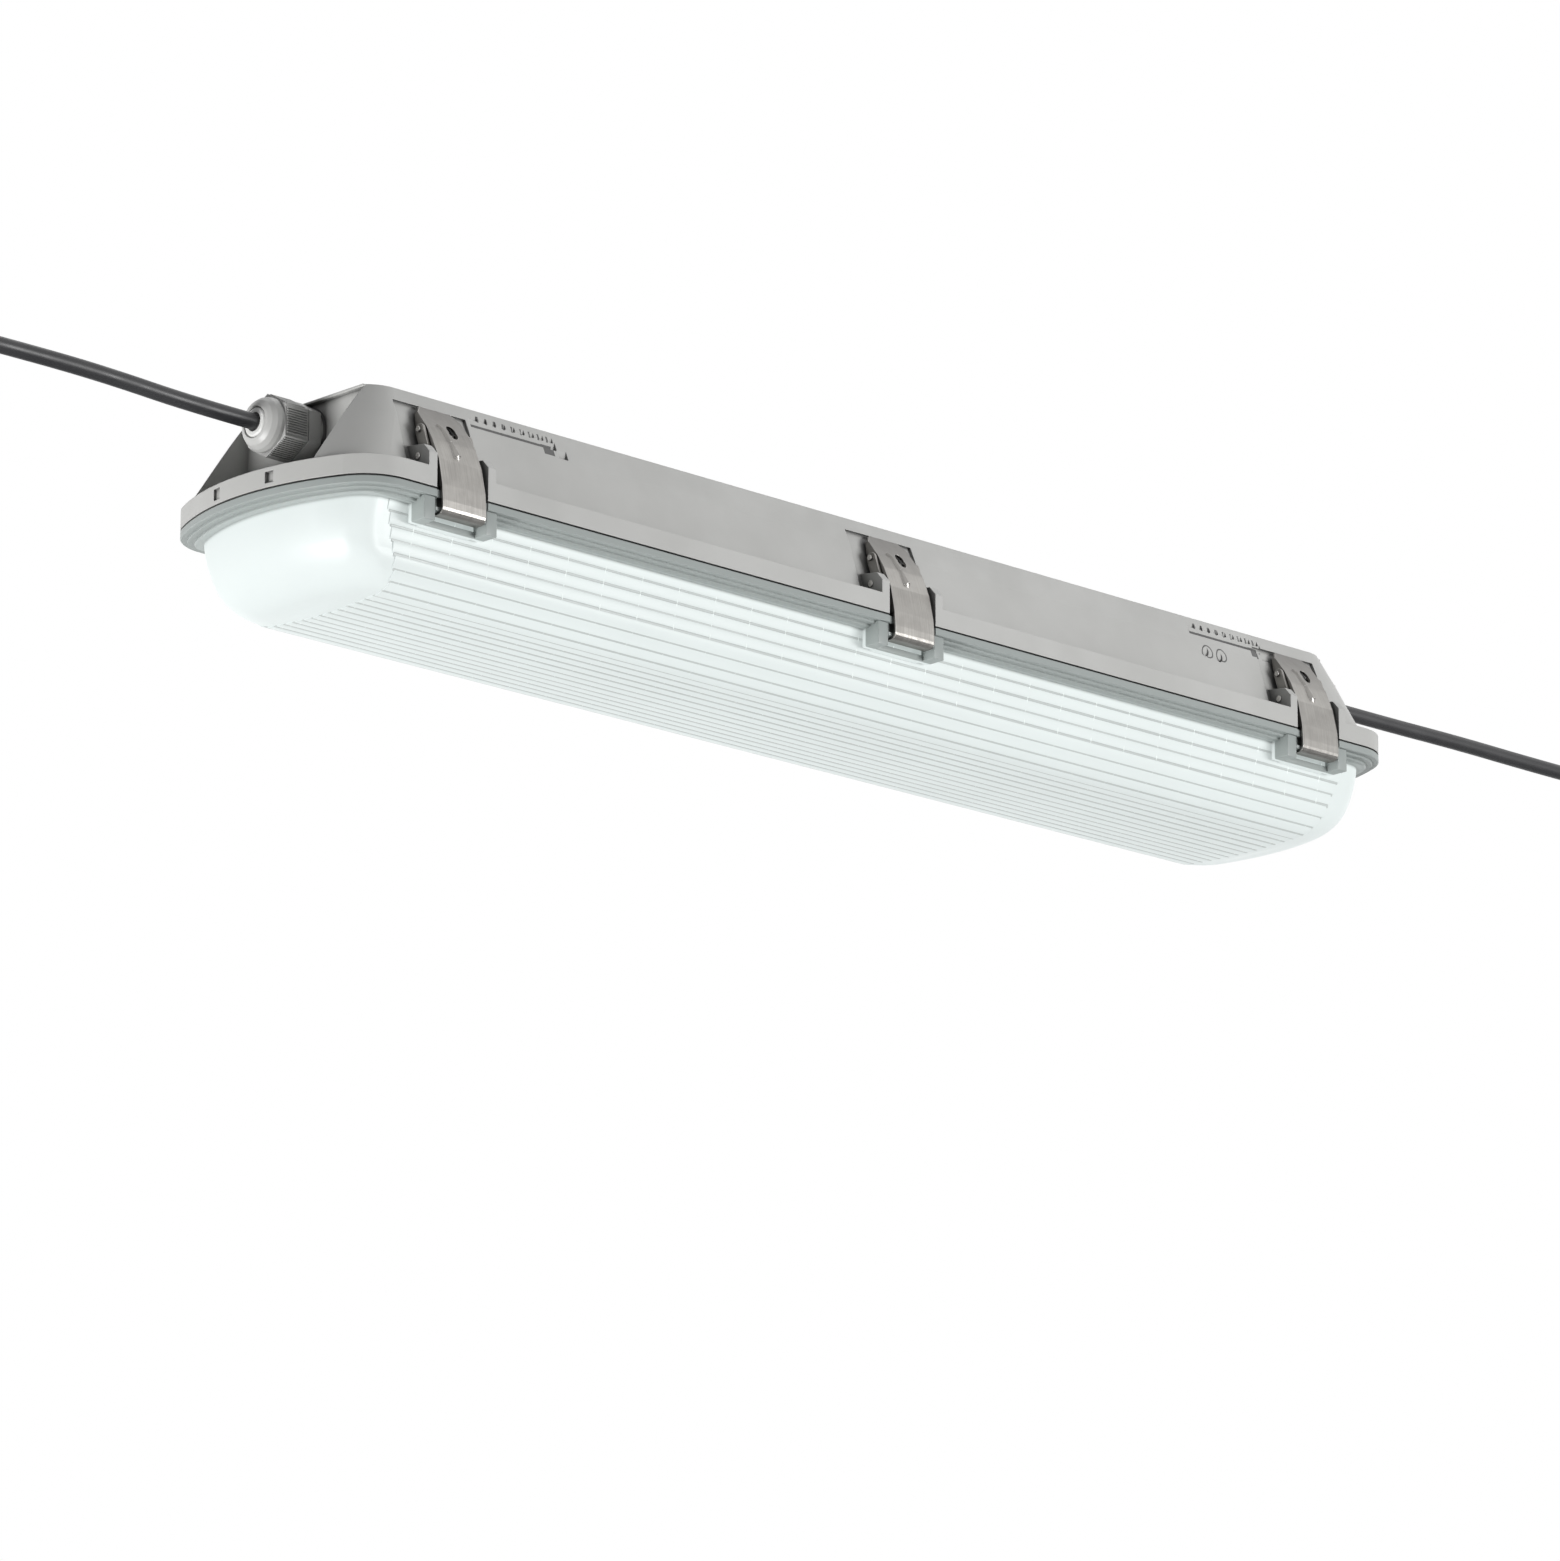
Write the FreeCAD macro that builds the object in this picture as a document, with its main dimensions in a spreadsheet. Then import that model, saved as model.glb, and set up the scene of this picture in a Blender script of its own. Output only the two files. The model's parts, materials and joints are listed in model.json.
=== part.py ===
import FreeCAD, Part
import math
import operator
import os
import Sketcher

# Weatherproof LED ceiling light, 2 ft size: a moulded tray, a clipped lens with six toggle latches,
# a gear tray with LED boards, and a cable through a gland at each end.
# Everything is built about the parting plane of tray and lens (z = 0 there), X along the light and
# the photographed long side at -Y. Each finished piece is then lowered by the tray's height, so that
# the origin of the part is the middle of the flat ceiling face.

V = FreeCAD.Vector
doc = FreeCAD.newDocument("weatherproof_light")

SIZES = (
    # tray
    ("tray_height", 47.4, "parting plane to ceiling face"),
    ("rim_length", 660.0, "overall length of the rim"),
    ("rim_width", 130.4, "overall width of the rim"),
    ("rim_corner", 24.0, "corner radius of the rim"),
    ("rim_bow", 120.5, "radius of the rim's bowed ends"),
    ("rim_height", 8.7, "height of the rim's outer face"),
    ("foot_end", 5.0, "rim's end in to the tray body where it meets the rim"),
    ("foot_side", 9.2, "rim's side in to the tray body where it meets the rim"),
    ("foot_corner", 28.0, "its corner radius"),
    ("crease_height", 34.5, "height of the crease along the side"),
    ("crease_end", 21.7, "rim's end in to the tray body at the crease"),
    ("crease_side", 17.2, "rim's side in to the tray body at the crease"),
    ("crease_corner", 21.0, "its corner radius"),
    ("top_end", 30.0, "rim's end in to the ceiling face"),
    ("top_side", 22.6, "rim's side in to the ceiling face"),
    ("top_corner", 16.0, "its corner radius"),
    ("wall", 2.6, "moulded wall of the tray"),
    ("pocket_depth", 36.0, "rim's end in to the recessed end wall"),
    ("pocket_side", 27.2, "rim's side in to the cheeks of the end pocket"),
    ("notch_width", 4.5, "small notches in the bowed ends of the rim"),
    ("notch_spread", 33.5, "from one notch to the other"),
    ("notch_height", 5.0, "height of these notches"),
    ("notch_depth", 1.6, "depth of these notches"),
    # seal and lens
    ("groove_inset", 5.0, "rim's outer face to the seal groove"),
    ("gasket_width", 4.5, "seal strip"),
    ("gasket_height", 4.0, "seal strip, squeezed"),
    ("gasket_gap", 0.6, "gap that the seal holds open between tray and lens"),
    ("flange_thick", 3.4, "lens flange"),
    ("flange_step", 1.1, "height of each of the two steps under the flange"),
    ("flange_step_in", 3.0, "inset of each of these steps"),
    ("lens_inset", 9.2, "rim's outer face to the lens wall"),
    ("lens_taper", 6.1, "how far the side walls lean in down to the round edge"),
    ("lens_side", 23.2, "depth at which the round lower edge begins"),
    ("lens_edge", 17.7, "radius of the round lower edge"),
    ("lens_crown", 1.3, "swell of the lens bottom"),
    ("lens_end_inset", 30.0, "how far the rounded ends draw in"),
    ("lens_end_start", 8.0, "depth at which the rounding of the ends begins"),
    ("lens_wall", 2.0, "moulded wall of the lens"),
    # latches
    ("latch_pitch", 264.5, "from one latch to the next"),
    ("pivot_inset", 7.2, "rim's outer face in to the fixed pivot pin"),
    ("pivot_height", 14.0, "parting plane to the fixed pivot pin"),
    ("pivot_radius", 1.5, "fixed pivot pin"),
    ("lever_pin_inset", 12.2, "rim's outer face in to the lever pin"),
    ("lever_pin_height", 28.0, "parting plane to the lever pin"),
    ("lever_pin_radius", 1.2, "lever pin"),
    ("pin_play", 0.05, "radial play of each pin in its turning hole"),
    ("pin_end", 0.5, "how far a pin shows past what it goes through"),
    ("lever_width", 24.0, "latch lever"),
    ("lever_plate", 1.2, "steel sheet of lever and link"),
    ("lever_top_inset", 18.2, "rim's outer face in to the lever's top edge"),
    ("lever_top_height", 40.5, "parting plane to the lever's top edge"),
    ("lever_knee_inset", 9.7, "upper bend of the lever"),
    ("lever_knee_height", 29.5, "upper bend of the lever"),
    ("lever_waist_inset", 5.7, "middle bend of the lever"),
    ("lever_waist_height", 23.0, "middle bend of the lever"),
    ("lever_kink_inset", 1.6, "lower bend of the lever"),
    ("lever_kink_height", 13.4, "lower bend of the lever"),
    ("lever_shin_height", 2.0, "parting plane up to the lever's bend at the rim"),
    ("lever_foot_height", 5.0, "parting plane down to where the lever stands out fully"),
    ("lever_proud", 1.4, "how far the hook stands out past the rim"),
    ("lever_proud_top", 0.8, "how far the lever stands out just above the parting plane"),
    ("hook_roll", 3.0, "outer radius of the rolled hook"),
    ("hook_reach", 6.3, "how far the hook reaches in"),
    ("flange_depth_low", 2.3, "lever's side flanges at the rim, inside the rim's face"),
    ("ear_radius", 2.6, "rounded ear of lever flange and link about each pin"),
    ("side_play", 0.5, "side play between lever, link and guide ribs"),
    ("latch_play", 0.3, "clearance of the latch parts at rest"),
    ("latch_recess", 1.4, "depth of the shallow pocket behind each latch"),
    ("recess_left", 22.0, "latch pocket to the left of the lever's middle"),
    ("recess_top", 41.2, "parting plane to the top of the latch pocket"),
    ("rib_width", 4.5, "guide ribs beside each latch"),
    ("rib_height", 14.7, "front edge of the guide ribs"),
    ("rib_back_height", 20.0, "guide ribs at the tray wall"),
    ("catch_drop", 9.7, "parting plane down to the catch's lower face"),
    ("catch_inset", 0.9, "rim's outer face in to the catch's front"),
    ("catch_bead", 2.5, "width of the bead that the hook grips"),
    ("catch_bead_height", 1.1, "height of this bead"),
    ("catch_legs", 6.0, "width of the catch's side legs"),
    ("catch_leg_drop", 14.5, "parting plane down to the ends of these legs"),
    # ceiling-clip seats
    ("seat_left_x", -219.0, "middle of the left ceiling-clip seat"),
    ("seat_right_x", 223.0, "middle of the right ceiling-clip seat"),
    ("seat_length", 49.0, "ceiling-clip seat"),
    ("seat_slot_low", 38.4, "lower edge of its slot"),
    ("seat_slot_high", 42.6, "upper edge of its slot"),
    ("seat_depth", 1.8, "depth of its slot"),
    ("tooth_gap", 2.2, "gap between the teeth over the slot"),
    ("tooth_pitch", 5.4, "from tooth to tooth"),
    ("mark_radius", 3.0, "plain round marks on the tray side"),
    # glands and cables
    ("gland_height", 33.4, "parting plane to the gland axis"),
    ("gland_right_y", -18.0, "sideways place of the right gland"),
    ("gland_flats", 24.0, "across flats of gland body and nut"),
    ("thread_radius", 8.0, "gland thread through the end wall"),
    ("locknut_flats", 21.6, "across flats of the locknut inside"),
    ("locknut_height", 4.5, "locknut"),
    ("washer_thick", 1.5, "sealing washer under the gland"),
    ("gland_collar", 1.5, "round collar of the gland body"),
    ("gland_hex", 6.5, "hexagon of the gland body"),
    ("nut_hex", 12.5, "hexagon of the dome nut"),
    ("nut_dome", 7.0, "dome of the dome nut"),
    ("nut_gap", 0.3, "gap between body and dome nut"),
    ("spigot_radius", 9.4, "part of the gland body inside the dome nut"),
    ("nut_wall_play", 0.2, "dome nut over this spigot"),
    ("mouth_radius", 6.6, "opening of the dome nut"),
    ("cable_radius", 3.5, "sheathed cable"),
    ("cable_play", 0.1, "radial play of seal and ring on the cable"),
    # gear tray and what it carries
    ("gear_end", 50.0, "rim's end in to the gear tray"),
    ("gear_side", 19.2, "rim's side in to the fold of the gear tray"),
    ("gear_height", 5.0, "parting plane to the tray's lower face"),
    ("gear_sheet", 0.8, "steel sheet of the gear tray"),
    ("gear_fold", 11.0, "height of its folded sides"),
    ("board_length", 270.0, "LED board"),
    ("board_width", 22.0, "LED board"),
    ("board_thick", 1.6, "LED board"),
    ("board_gap", 4.0, "gap between the two boards"),
    ("chip_pitch", 22.5, "from LED to LED"),
    ("chip_size", 5.0, "LED package"),
    ("chip_height", 0.8, "LED package"),
    ("driver_length", 150.0, "LED driver"),
    ("driver_width", 40.0, "LED driver"),
    ("driver_height", 26.0, "LED driver"),
    ("driver_x", -60.0, "middle of the driver"),
    ("driver_lug", 9.0, "fixing lugs of the driver"),
    ("lug_thick", 2.0, "fixing lugs of the driver"),
    ("block_x", -215.0, "middle of the terminal block"),
    ("block_length", 16.0, "terminal block"),
    ("block_width", 40.0, "terminal block"),
    ("block_height", 17.0, "terminal block"),
    ("boss_x", 243.0, "tray bosses from the middle"),
    ("boss_y", 30.0, "tray bosses from the middle"),
    ("boss_radius", 5.0, "tray bosses"),
    ("screw_radius", 1.6, "screws"),
    ("screw_head", 3.6, "screw heads"),
    ("head_height", 2.0, "screw heads"),
    ("screw_length", 12.0, "tray screws"),
    ("screw_play", 0.1, "play of a screw in its hole"),
    # connectors
    ("plug_radius", 9.5, "in-line connector"),
    ("plug_length", 44.0, "in-line connector"),
    ("plug_taper", 14.0, "its tapered cable end"),
    ("plug_neck", 5.2, "radius of its cable end"),
    ("collar_radius", 12.0, "turning collar of the connector"),
    ("collar_length", 15.0, "turning collar of the connector"),
    ("collar_start", 24.0, "cable end of the connector to its collar"),
    ("contact_radius", 1.2, "contact pins and holes"),
    ("contact_ring", 4.0, "contacts from the connector's axis"),
    ("contact_length", 9.0, "contact pins and holes"),
)

sheet = doc.addObject("Spreadsheet::Sheet", "Sizes")
for row, (alias, number, meaning) in enumerate(SIZES, 1):
    sheet.set(f"A{row}", meaning)
    sheet.set(f"B{row}", str(number))
    sheet.setAlias(f"B{row}", alias)
doc.recompute()


class Size(float):
    """A length that remembers the formula by which the sheet gives it."""

    def __new__(cls, number, formula):
        size = float.__new__(cls, number)
        size.formula = formula
        return size

    def __neg__(self):
        return Size(-float(self), f"(0 - {self.formula})")


def formula(number):
    if isinstance(number, Size):
        return number.formula
    return f"({float(number):.9g})"


def arithmetic(sign, work):
    def forward(self, other):
        return Size(work(float(self), float(other)), f"({formula(self)} {sign} {formula(other)})")

    def backward(self, other):
        return Size(work(float(other), float(self)), f"({formula(other)} {sign} {formula(self)})")

    return forward, backward


Size.__add__, Size.__radd__ = arithmetic("+", operator.add)
Size.__sub__, Size.__rsub__ = arithmetic("-", operator.sub)
Size.__mul__, Size.__rmul__ = arithmetic("*", operator.mul)
Size.__truediv__, Size.__rtruediv__ = arithmetic("/", operator.truediv)


class Sizes:
    """The sheet's cells by name."""

    def __getattr__(self, alias):
        return Size(float(getattr(sheet, alias)), f"Sizes.{alias}")


S = Sizes()
BEYOND = 60.0  # how far a cutting tool runs past what it cuts


def bind(item, **sizes):
    """Bind properties of an item to the sheet; a double underscore stands for a dot."""
    for name, number in sizes.items():
        item.setExpression(name.replace("__", "."), formula(number))
    return item


def place(item, x=0, y=0, z=0):
    return bind(item, Placement__Base__x=x, Placement__Base__y=y, Placement__Base__z=z)


# ---------------------------------------------------------------- solids by name


def box(name, x, y, z):
    """Box between pairs of coordinates."""
    item = doc.addObject("Part::Box", name)
    bind(item, Length=x[1] - x[0], Width=y[1] - y[0], Height=z[1] - z[0])
    return place(item, x[0], y[0], z[0])


AXES = {"x": V(1, 0, 0), "y": V(0, 1, 0), "z": V(0, 0, 1)}


def rod(name, radius, length, axis, x=0, y=0, z=0):
    """Cylinder that starts at a point and runs along +X, +Y or +Z."""
    item = doc.addObject("Part::Cylinder", name)
    item.Placement.Rotation = FreeCAD.Rotation(AXES["z"], AXES[axis])
    bind(item, Radius=radius, Height=length)
    return place(item, x, y, z)


def hexagon(name, flats, length, z):
    """Hexagonal bar along +Z, flats to the sides."""
    item = doc.addObject("Part::Prism", name)
    item.Polygon = 6
    bind(item, Circumradius=flats / math.sqrt(3), Height=length)
    return place(item, 0, 0, z)


def cut(name, base, *tools):
    item = doc.addObject("Part::Cut", name)
    item.Base = base
    item.Tool = tools[0] if len(tools) == 1 else fuse(name + "_tools", *tools)
    return item


def fuse(name, *pieces):
    item = doc.addObject("Part::MultiFuse", name)
    item.Shapes = list(pieces)
    return item


def group(name, *pieces):
    """Separate solids that share one node."""
    item = doc.addObject("Part::Compound", name)
    item.Links = list(pieces)
    return item


def prism(name, wire, low, high):
    """Straight prism of a closed outline drawn at the low level."""
    item = doc.addObject("Part::Extrusion", name)
    item.Base = wire
    item.DirMode = "Custom"
    item.Dir = AXES["z"]
    item.Solid = True
    return bind(item, LengthFwd=high - low)


def loft(name, ruled, *wires):
    item = doc.addObject("Part::Loft", name)
    item.Sections = list(wires)
    item.Solid = True
    item.Ruled = ruled
    return item


def copy_at(name, source, x=0, y=0, z=0, turn=0, axis=AXES["z"]):
    """The same piece again, turned about an axis through the origin and moved."""
    item = doc.addObject("Part::Compound", name)
    item.Links = [source]
    item.Placement.Rotation = FreeCAD.Rotation(axis, turn)
    return place(item, x, y, z)


# ---------------------------------------------------------------- bodies from sketches


def body(name):
    return doc.addObject("PartDesign::Body", name)


def outline(owner, name, plane, corners, level=0):
    """Closed sketch on a plane of the body, each corner held by its two sizes."""
    sketch = owner.newObject("Sketcher::SketchObject", name)
    support = [item for item in owner.Origin.OriginFeatures if item.Role == plane]
    sketch.AttachmentSupport = [(support[0], "")]
    sketch.MapMode = "FlatFace"
    bind(sketch, AttachmentOffset__Base__z=level)
    spots = [V(float(u), float(v), 0) for u, v in corners]
    count = len(spots)
    for i in range(count):
        sketch.addGeometry(Part.LineSegment(spots[i], spots[(i + 1) % count]), False)
    for i in range(count):
        sketch.addConstraint(Sketcher.Constraint("Coincident", i, 2, (i + 1) % count, 1))
    for i, corner in enumerate(corners):
        for kind, number in zip(("DistanceX", "DistanceY"), corner):
            index = sketch.addConstraint(Sketcher.Constraint(kind, -1, 1, i, 1, float(number)))
            if isinstance(number, Size):
                sketch.setExpression(f"Constraints[{index}]", number.formula)
    return sketch


def pad(owner, sketch, length):
    item = owner.newObject("PartDesign::Pad", sketch.Name + "_pad")
    item.Profile = sketch
    return bind(item, Length=length)


def revolve(owner, sketch):
    """Full turn about the sketch's own vertical axis."""
    item = owner.newObject("PartDesign::Revolution", sketch.Name + "_turn")
    item.Profile = sketch
    item.ReferenceAxis = (sketch, ["V_Axis"])
    item.Angle = 360.0
    return item


def turned(name, corners):
    """Body turned about Z from a profile of (radius, height) corners."""
    owner = body(name)
    revolve(owner, outline(owner, name + "_profile", "XZ_Plane", corners))
    return owner


# ---------------------------------------------------------------- outlines of the light


def wire(name, *edges):
    item = doc.addObject("Part::Feature", name)
    item.Shape = Part.Wire(list(edges))
    return item


def arc(start, through, end):
    return Part.Arc(V(*start), V(*through), V(*end)).toShape()


def lamp_outline(name, half_length, half_width, corner, bow, level):
    """Straight sides, round corners and bowed ends, at a level."""
    a, b, r, e, z = (float(n) for n in (half_length, half_width, corner, bow, level))
    bow_x = a - e
    corner_y = b - r
    corner_x = bow_x + math.sqrt((e - r) ** 2 - corner_y**2)
    lean = math.atan2(corner_y, corner_x - bow_x)
    joint = (bow_x + e * math.cos(lean), e * math.sin(lean))
    middle = (lean + math.pi / 2) / 2
    bend = (corner_x + r * math.cos(middle), corner_y + r * math.sin(middle))
    side = (corner_x, b)
    return wire(
        name,
        arc((joint[0], -joint[1], z), (a, 0, z), (joint[0], joint[1], z)),
        arc((*joint, z), (*bend, z), (*side, z)),
        Part.makeLine(V(side[0], b, z), V(-side[0], b, z)),
        arc((-side[0], b, z), (-bend[0], bend[1], z), (-joint[0], joint[1], z)),
        arc((-joint[0], joint[1], z), (-a, 0, z), (-joint[0], -joint[1], z)),
        arc((-joint[0], -joint[1], z), (-bend[0], -bend[1], z), (-side[0], -b, z)),
        Part.makeLine(V(-side[0], -b, z), V(side[0], -b, z)),
        arc((side[0], -b, z), (bend[0], -bend[1], z), (joint[0], -joint[1], z)),
    )


def rim_outline(name, inset, level):
    """The rim's own outline, drawn in by an inset."""
    return lamp_outline(
        name,
        S.rim_length / 2 - inset,
        S.rim_width / 2 - inset,
        S.rim_corner - inset,
        S.rim_bow - inset,
        level,
    )


def round_rectangle(name, length, width, corner, inset, level):
    a, b = float(length) / 2 - float(inset), float(width) / 2 - float(inset)
    r, z = max(float(corner) - float(inset), 1.0), float(level)
    x, y, d = a - r, b - r, r * math.sqrt(0.5)
    edges = []
    for sx, sy in ((1, 1), (-1, 1), (-1, -1), (1, -1)):
        first, last = (V(sx * a, sy * y, z), V(sx * x, sy * b, z))
        if sx * sy < 0:
            first, last = last, first
        edges.append(Part.Arc(first, V(sx * (x + d), sy * (y + d), z), last).toShape())
    corners = [(edge.Vertexes[0].Point, edge.Vertexes[-1].Point) for edge in edges]
    loop = []
    for i, edge in enumerate(edges):
        loop.append(edge)
        loop.append(Part.makeLine(corners[i][1], corners[(i + 1) % 4][0]))
    return wire(name, *loop)


def profile_along_x(name, corners, x):
    """Prism along X of a closed outline given as (out from the rim's face, height)."""
    half = S.rim_width / 2
    owner = body(name)
    points = [(-(half + out), height) for out, height in corners]
    pad(owner, outline(owner, name + "_section", "YZ_Plane", points, x[0]), x[1] - x[0])
    return owner


# ---------------------------------------------------------------- housing

rim_out = S.rim_width / 2
end_wall = S.rim_length / 2 - S.pocket_depth
band = S.foot_side + S.wall
LATCH_X = (-S.latch_pitch, 0, S.latch_pitch)
rib_inner = S.lever_width / 2 + S.side_play * 2 + S.lever_plate
rib_outer = rib_inner + S.rib_width


def side_inset(height):
    """How far the tray's side wall lies inside the rim's outer face at a height."""
    if height <= S.crease_height:
        rise = (height - S.rim_height) / (S.crease_height - S.rim_height)
        return S.foot_side + (S.crease_side - S.foot_side) * rise
    rise = (height - S.crease_height) / (S.tray_height - S.crease_height)
    return S.crease_side + (S.top_side - S.crease_side) * rise


def tray_section(name, inset, level, end, side, corner):
    """Tray body's outline at a level, from how far it lies inside the rim's end and side."""
    return round_rectangle(
        name, S.rim_length - 2 * end, S.rim_width - 2 * side, corner, inset, level
    )


def tray_loft(name, inset, low, high):
    """Tray body drawn in by an inset, from a low level to a high one."""
    return loft(
        name,
        True,
        tray_section(name + "_foot", inset, low, S.foot_end, S.foot_side, S.foot_corner),
        tray_section(
            name + "_crease", inset, S.crease_height, S.crease_end, S.crease_side, S.crease_corner
        ),
        tray_section(name + "_top", inset, high, S.top_end, S.top_side, S.top_corner),
    )


def both_ends(make):
    """A tool at the left end and its mirror image at the right end."""
    return [make("left", -1), make("right", 1)]


def end_box(name, sign, start, half_width, low, high):
    """Box from a distance out to past the end of the light."""
    far = S.rim_length / 2 + BEYOND
    x = (start, far) if sign > 0 else (-far, -start)
    return box(name, x, (-half_width, half_width), (low, high))


def at_latches(name, source):
    """One copy of a tool at each latch on both long sides."""
    copies = []
    for i, x in enumerate(LATCH_X):
        copies.append(copy_at(f"{name}_front_{i}", source, x))
        copies.append(copy_at(f"{name}_rear_{i}", source, x, turn=180))
    return copies


def make_housing():
    rim = prism("rim", rim_outline("rim_edge", 0, 0), 0, S.rim_height)
    shell = tray_loft("tray_body", 0, S.rim_height, S.tray_height)
    open_rim = prism("rim_opening", rim_outline("rim_inner", band, -1), -1, S.rim_height)
    hollow = tray_loft("hollow", S.wall, S.rim_height, S.tray_height - S.wall)
    half_pocket = rim_out - S.pocket_side
    backing = both_ends(
        lambda side, sign: end_box(
            f"pocket_backing_{side}",
            sign,
            end_wall - S.wall,
            half_pocket + S.wall,
            S.rim_height - S.wall,
            S.tray_height + BEYOND,
        )
    )
    pockets = both_ends(
        lambda side, sign: end_box(
            f"end_pocket_{side}", sign, end_wall, half_pocket, S.rim_height, S.tray_height + BEYOND
        )
    )
    cavity = cut("cavity", fuse("cavity_full", open_rim, hollow), *backing)
    groove = cut(
        "seal_groove",
        prism("groove_outer", rim_outline("groove_edge", S.groove_inset, -1), -1, groove_height()),
        prism(
            "groove_inner",
            rim_outline("groove_core", S.groove_inset + S.gasket_width, -1),
            -1,
            groove_height(),
        ),
    )
    recess = profile_along_x(
        "latch_pocket",
        (
            (-side_inset(S.rim_height + 1) - S.latch_recess, S.rim_height + 1),
            (-side_inset(S.crease_height) - S.latch_recess, S.crease_height),
            (-side_inset(S.recess_top) - S.latch_recess, S.recess_top),
            (5, S.recess_top),
            (5, S.rim_height + 1),
        ),
        (-S.recess_left, rib_outer),
    )
    skin = cut("tray_skin", fuse("tray_full", rim, shell), *at_latches("latch_pocket", recess), *pockets)
    rib_tops = (
        (-side_inset(S.rim_height) - S.wall / 2 - S.latch_recess / 2, S.rim_height - 1),
        (0, S.rim_height - 1),
        (0, S.rib_height),
        (-S.pivot_inset + S.ear_radius + 1, S.pivot_height + S.ear_radius + 2),
        (-side_inset(S.rib_back_height) - S.latch_recess - 0.6, S.rib_back_height),
    )
    ribs = fuse(
        "guide_ribs",
        profile_along_x("rib_left", rib_tops, (-rib_outer, -rib_inner)),
        profile_along_x("rib_right", rib_tops, (rib_inner, rib_outer)),
    )
    notch = box(
        "lever_notch",
        (-rib_inner, rib_inner),
        (-rim_out - BEYOND, -rim_out + S.flange_depth_low + 2 * S.latch_play),
        (-1, S.rim_height + 1),
    )
    pivot_hole = rod(
        "pivot_hole",
        S.pivot_radius + S.pin_play,
        2 * rib_outer + 2,
        "x",
        -rib_outer - 1,
        S.pivot_inset - rim_out,
        S.pivot_height,
    )
    latch_tools = fuse("latch_cuts", notch, pivot_hole)
    bosses = [
        rod(
            f"boss_{i}",
            S.boss_radius,
            S.tray_height - S.wall / 2 - S.gear_height - S.gear_sheet,
            "z",
            sx * S.boss_x,
            sy * S.boss_y,
            S.gear_height + S.gear_sheet,
        )
        for i, (sx, sy) in enumerate(((1, 1), (-1, 1), (-1, -1), (1, -1)))
    ]
    pilots = [
        rod(
            f"pilot_{i}",
            S.screw_radius + S.screw_play,
            S.screw_length + 2,
            "z",
            sx * S.boss_x,
            sy * S.boss_y,
            S.gear_height,
        )
        for i, (sx, sy) in enumerate(((1, 1), (-1, 1), (-1, -1), (1, -1)))
    ]
    gland_holes = both_ends(
        lambda side, sign: rod(
            f"gland_hole_{side}",
            S.thread_radius + S.screw_play,
            3 * S.wall,
            "x",
            sign * (end_wall - S.wall / 2) - 1.5 * S.wall,
            S.gland_right_y if sign > 0 else 0,
            S.gland_height,
        )
    )
    hollowed = cut("tray_hollowed", skin, cavity, groove)
    ribbed = fuse("tray_ribbed", hollowed, *at_latches("guide_ribs", ribs), *bosses)
    return cut(
        "housing",
        ribbed,
        *at_latches("latch_cuts", latch_tools),
        *pilots,
        *gland_holes,
        *clip_seats(),
        *rim_notches(),
        *round_marks(),
    )


def groove_height():
    return S.gasket_height - S.gasket_gap


def clip_seats():
    """Toothed seats for sliding ceiling clips in both upper side edges."""
    tools = []
    teeth = int(float(S.seat_length) / float(S.tooth_pitch))
    for side, sign in (("front", -1), ("rear", 1)):
        for end, x in (("left", S.seat_left_x), ("right", S.seat_right_x)):
            name = f"seat_{end}_{side}"
            start = x - S.seat_length / 2

            def strip(label, x_pair, high, low, depth):
                surface = rim_out - side_inset(low)
                inner = surface - depth
                y = (inner, surface + 5) if sign > 0 else (-surface - 5, -inner)
                return box(f"{name}_{label}", x_pair, y, (low, high))

            tools.append(
                strip("slot", (start, start + S.seat_length), S.seat_slot_high, S.seat_slot_low, S.seat_depth)
            )
            tools.append(
                strip(
                    "pocket",
                    (start + S.seat_length, start + S.seat_length + S.tooth_pitch),
                    S.seat_slot_high,
                    S.crease_height + 0.6,
                    S.seat_depth,
                )
            )
            for i in range(teeth):
                left = start + S.tooth_pitch * (i + 0.5)
                tools.append(
                    strip(
                        f"gap_{i}",
                        (left, left + S.tooth_gap),
                        S.tray_height + 1,
                        S.seat_slot_high - 0.5,
                        S.seat_depth * 0.6,
                    )
                )
    return tools


def rim_notches():
    tools = []
    for side, sign in (("left", -1), ("right", 1)):
        for i, y in enumerate((-S.notch_spread / 2, S.notch_spread / 2)):
            inner = S.rim_length / 2 - S.notch_depth - S.notch_spread / 2 * 0.07
            x = (inner, inner + 10) if sign > 0 else (-inner - 10, -inner)
            low = (S.rim_height - S.notch_height) / 2
            tools.append(
                box(
                    f"rim_notch_{side}_{i}",
                    x,
                    (y - S.notch_width / 2, y + S.notch_width / 2),
                    (low, low + S.notch_height),
                )
            )
    return tools


def round_marks():
    """Two plain shallow round marks beside the right ceiling-clip seat."""
    tools = []
    for i, (dx, drop) in enumerate(((-18.0, 3.5), (-9.0, 4.5))):
        height = S.crease_height - drop
        tools.append(
            rod(
                f"round_mark_{i}",
                S.mark_radius,
                20,
                "y",
                S.seat_right_x + dx,
                -(rim_out - side_inset(height)) - 20 + 0.6,
                height,
            )
        )
    return tools


# ---------------------------------------------------------------- gasket and lens


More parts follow.
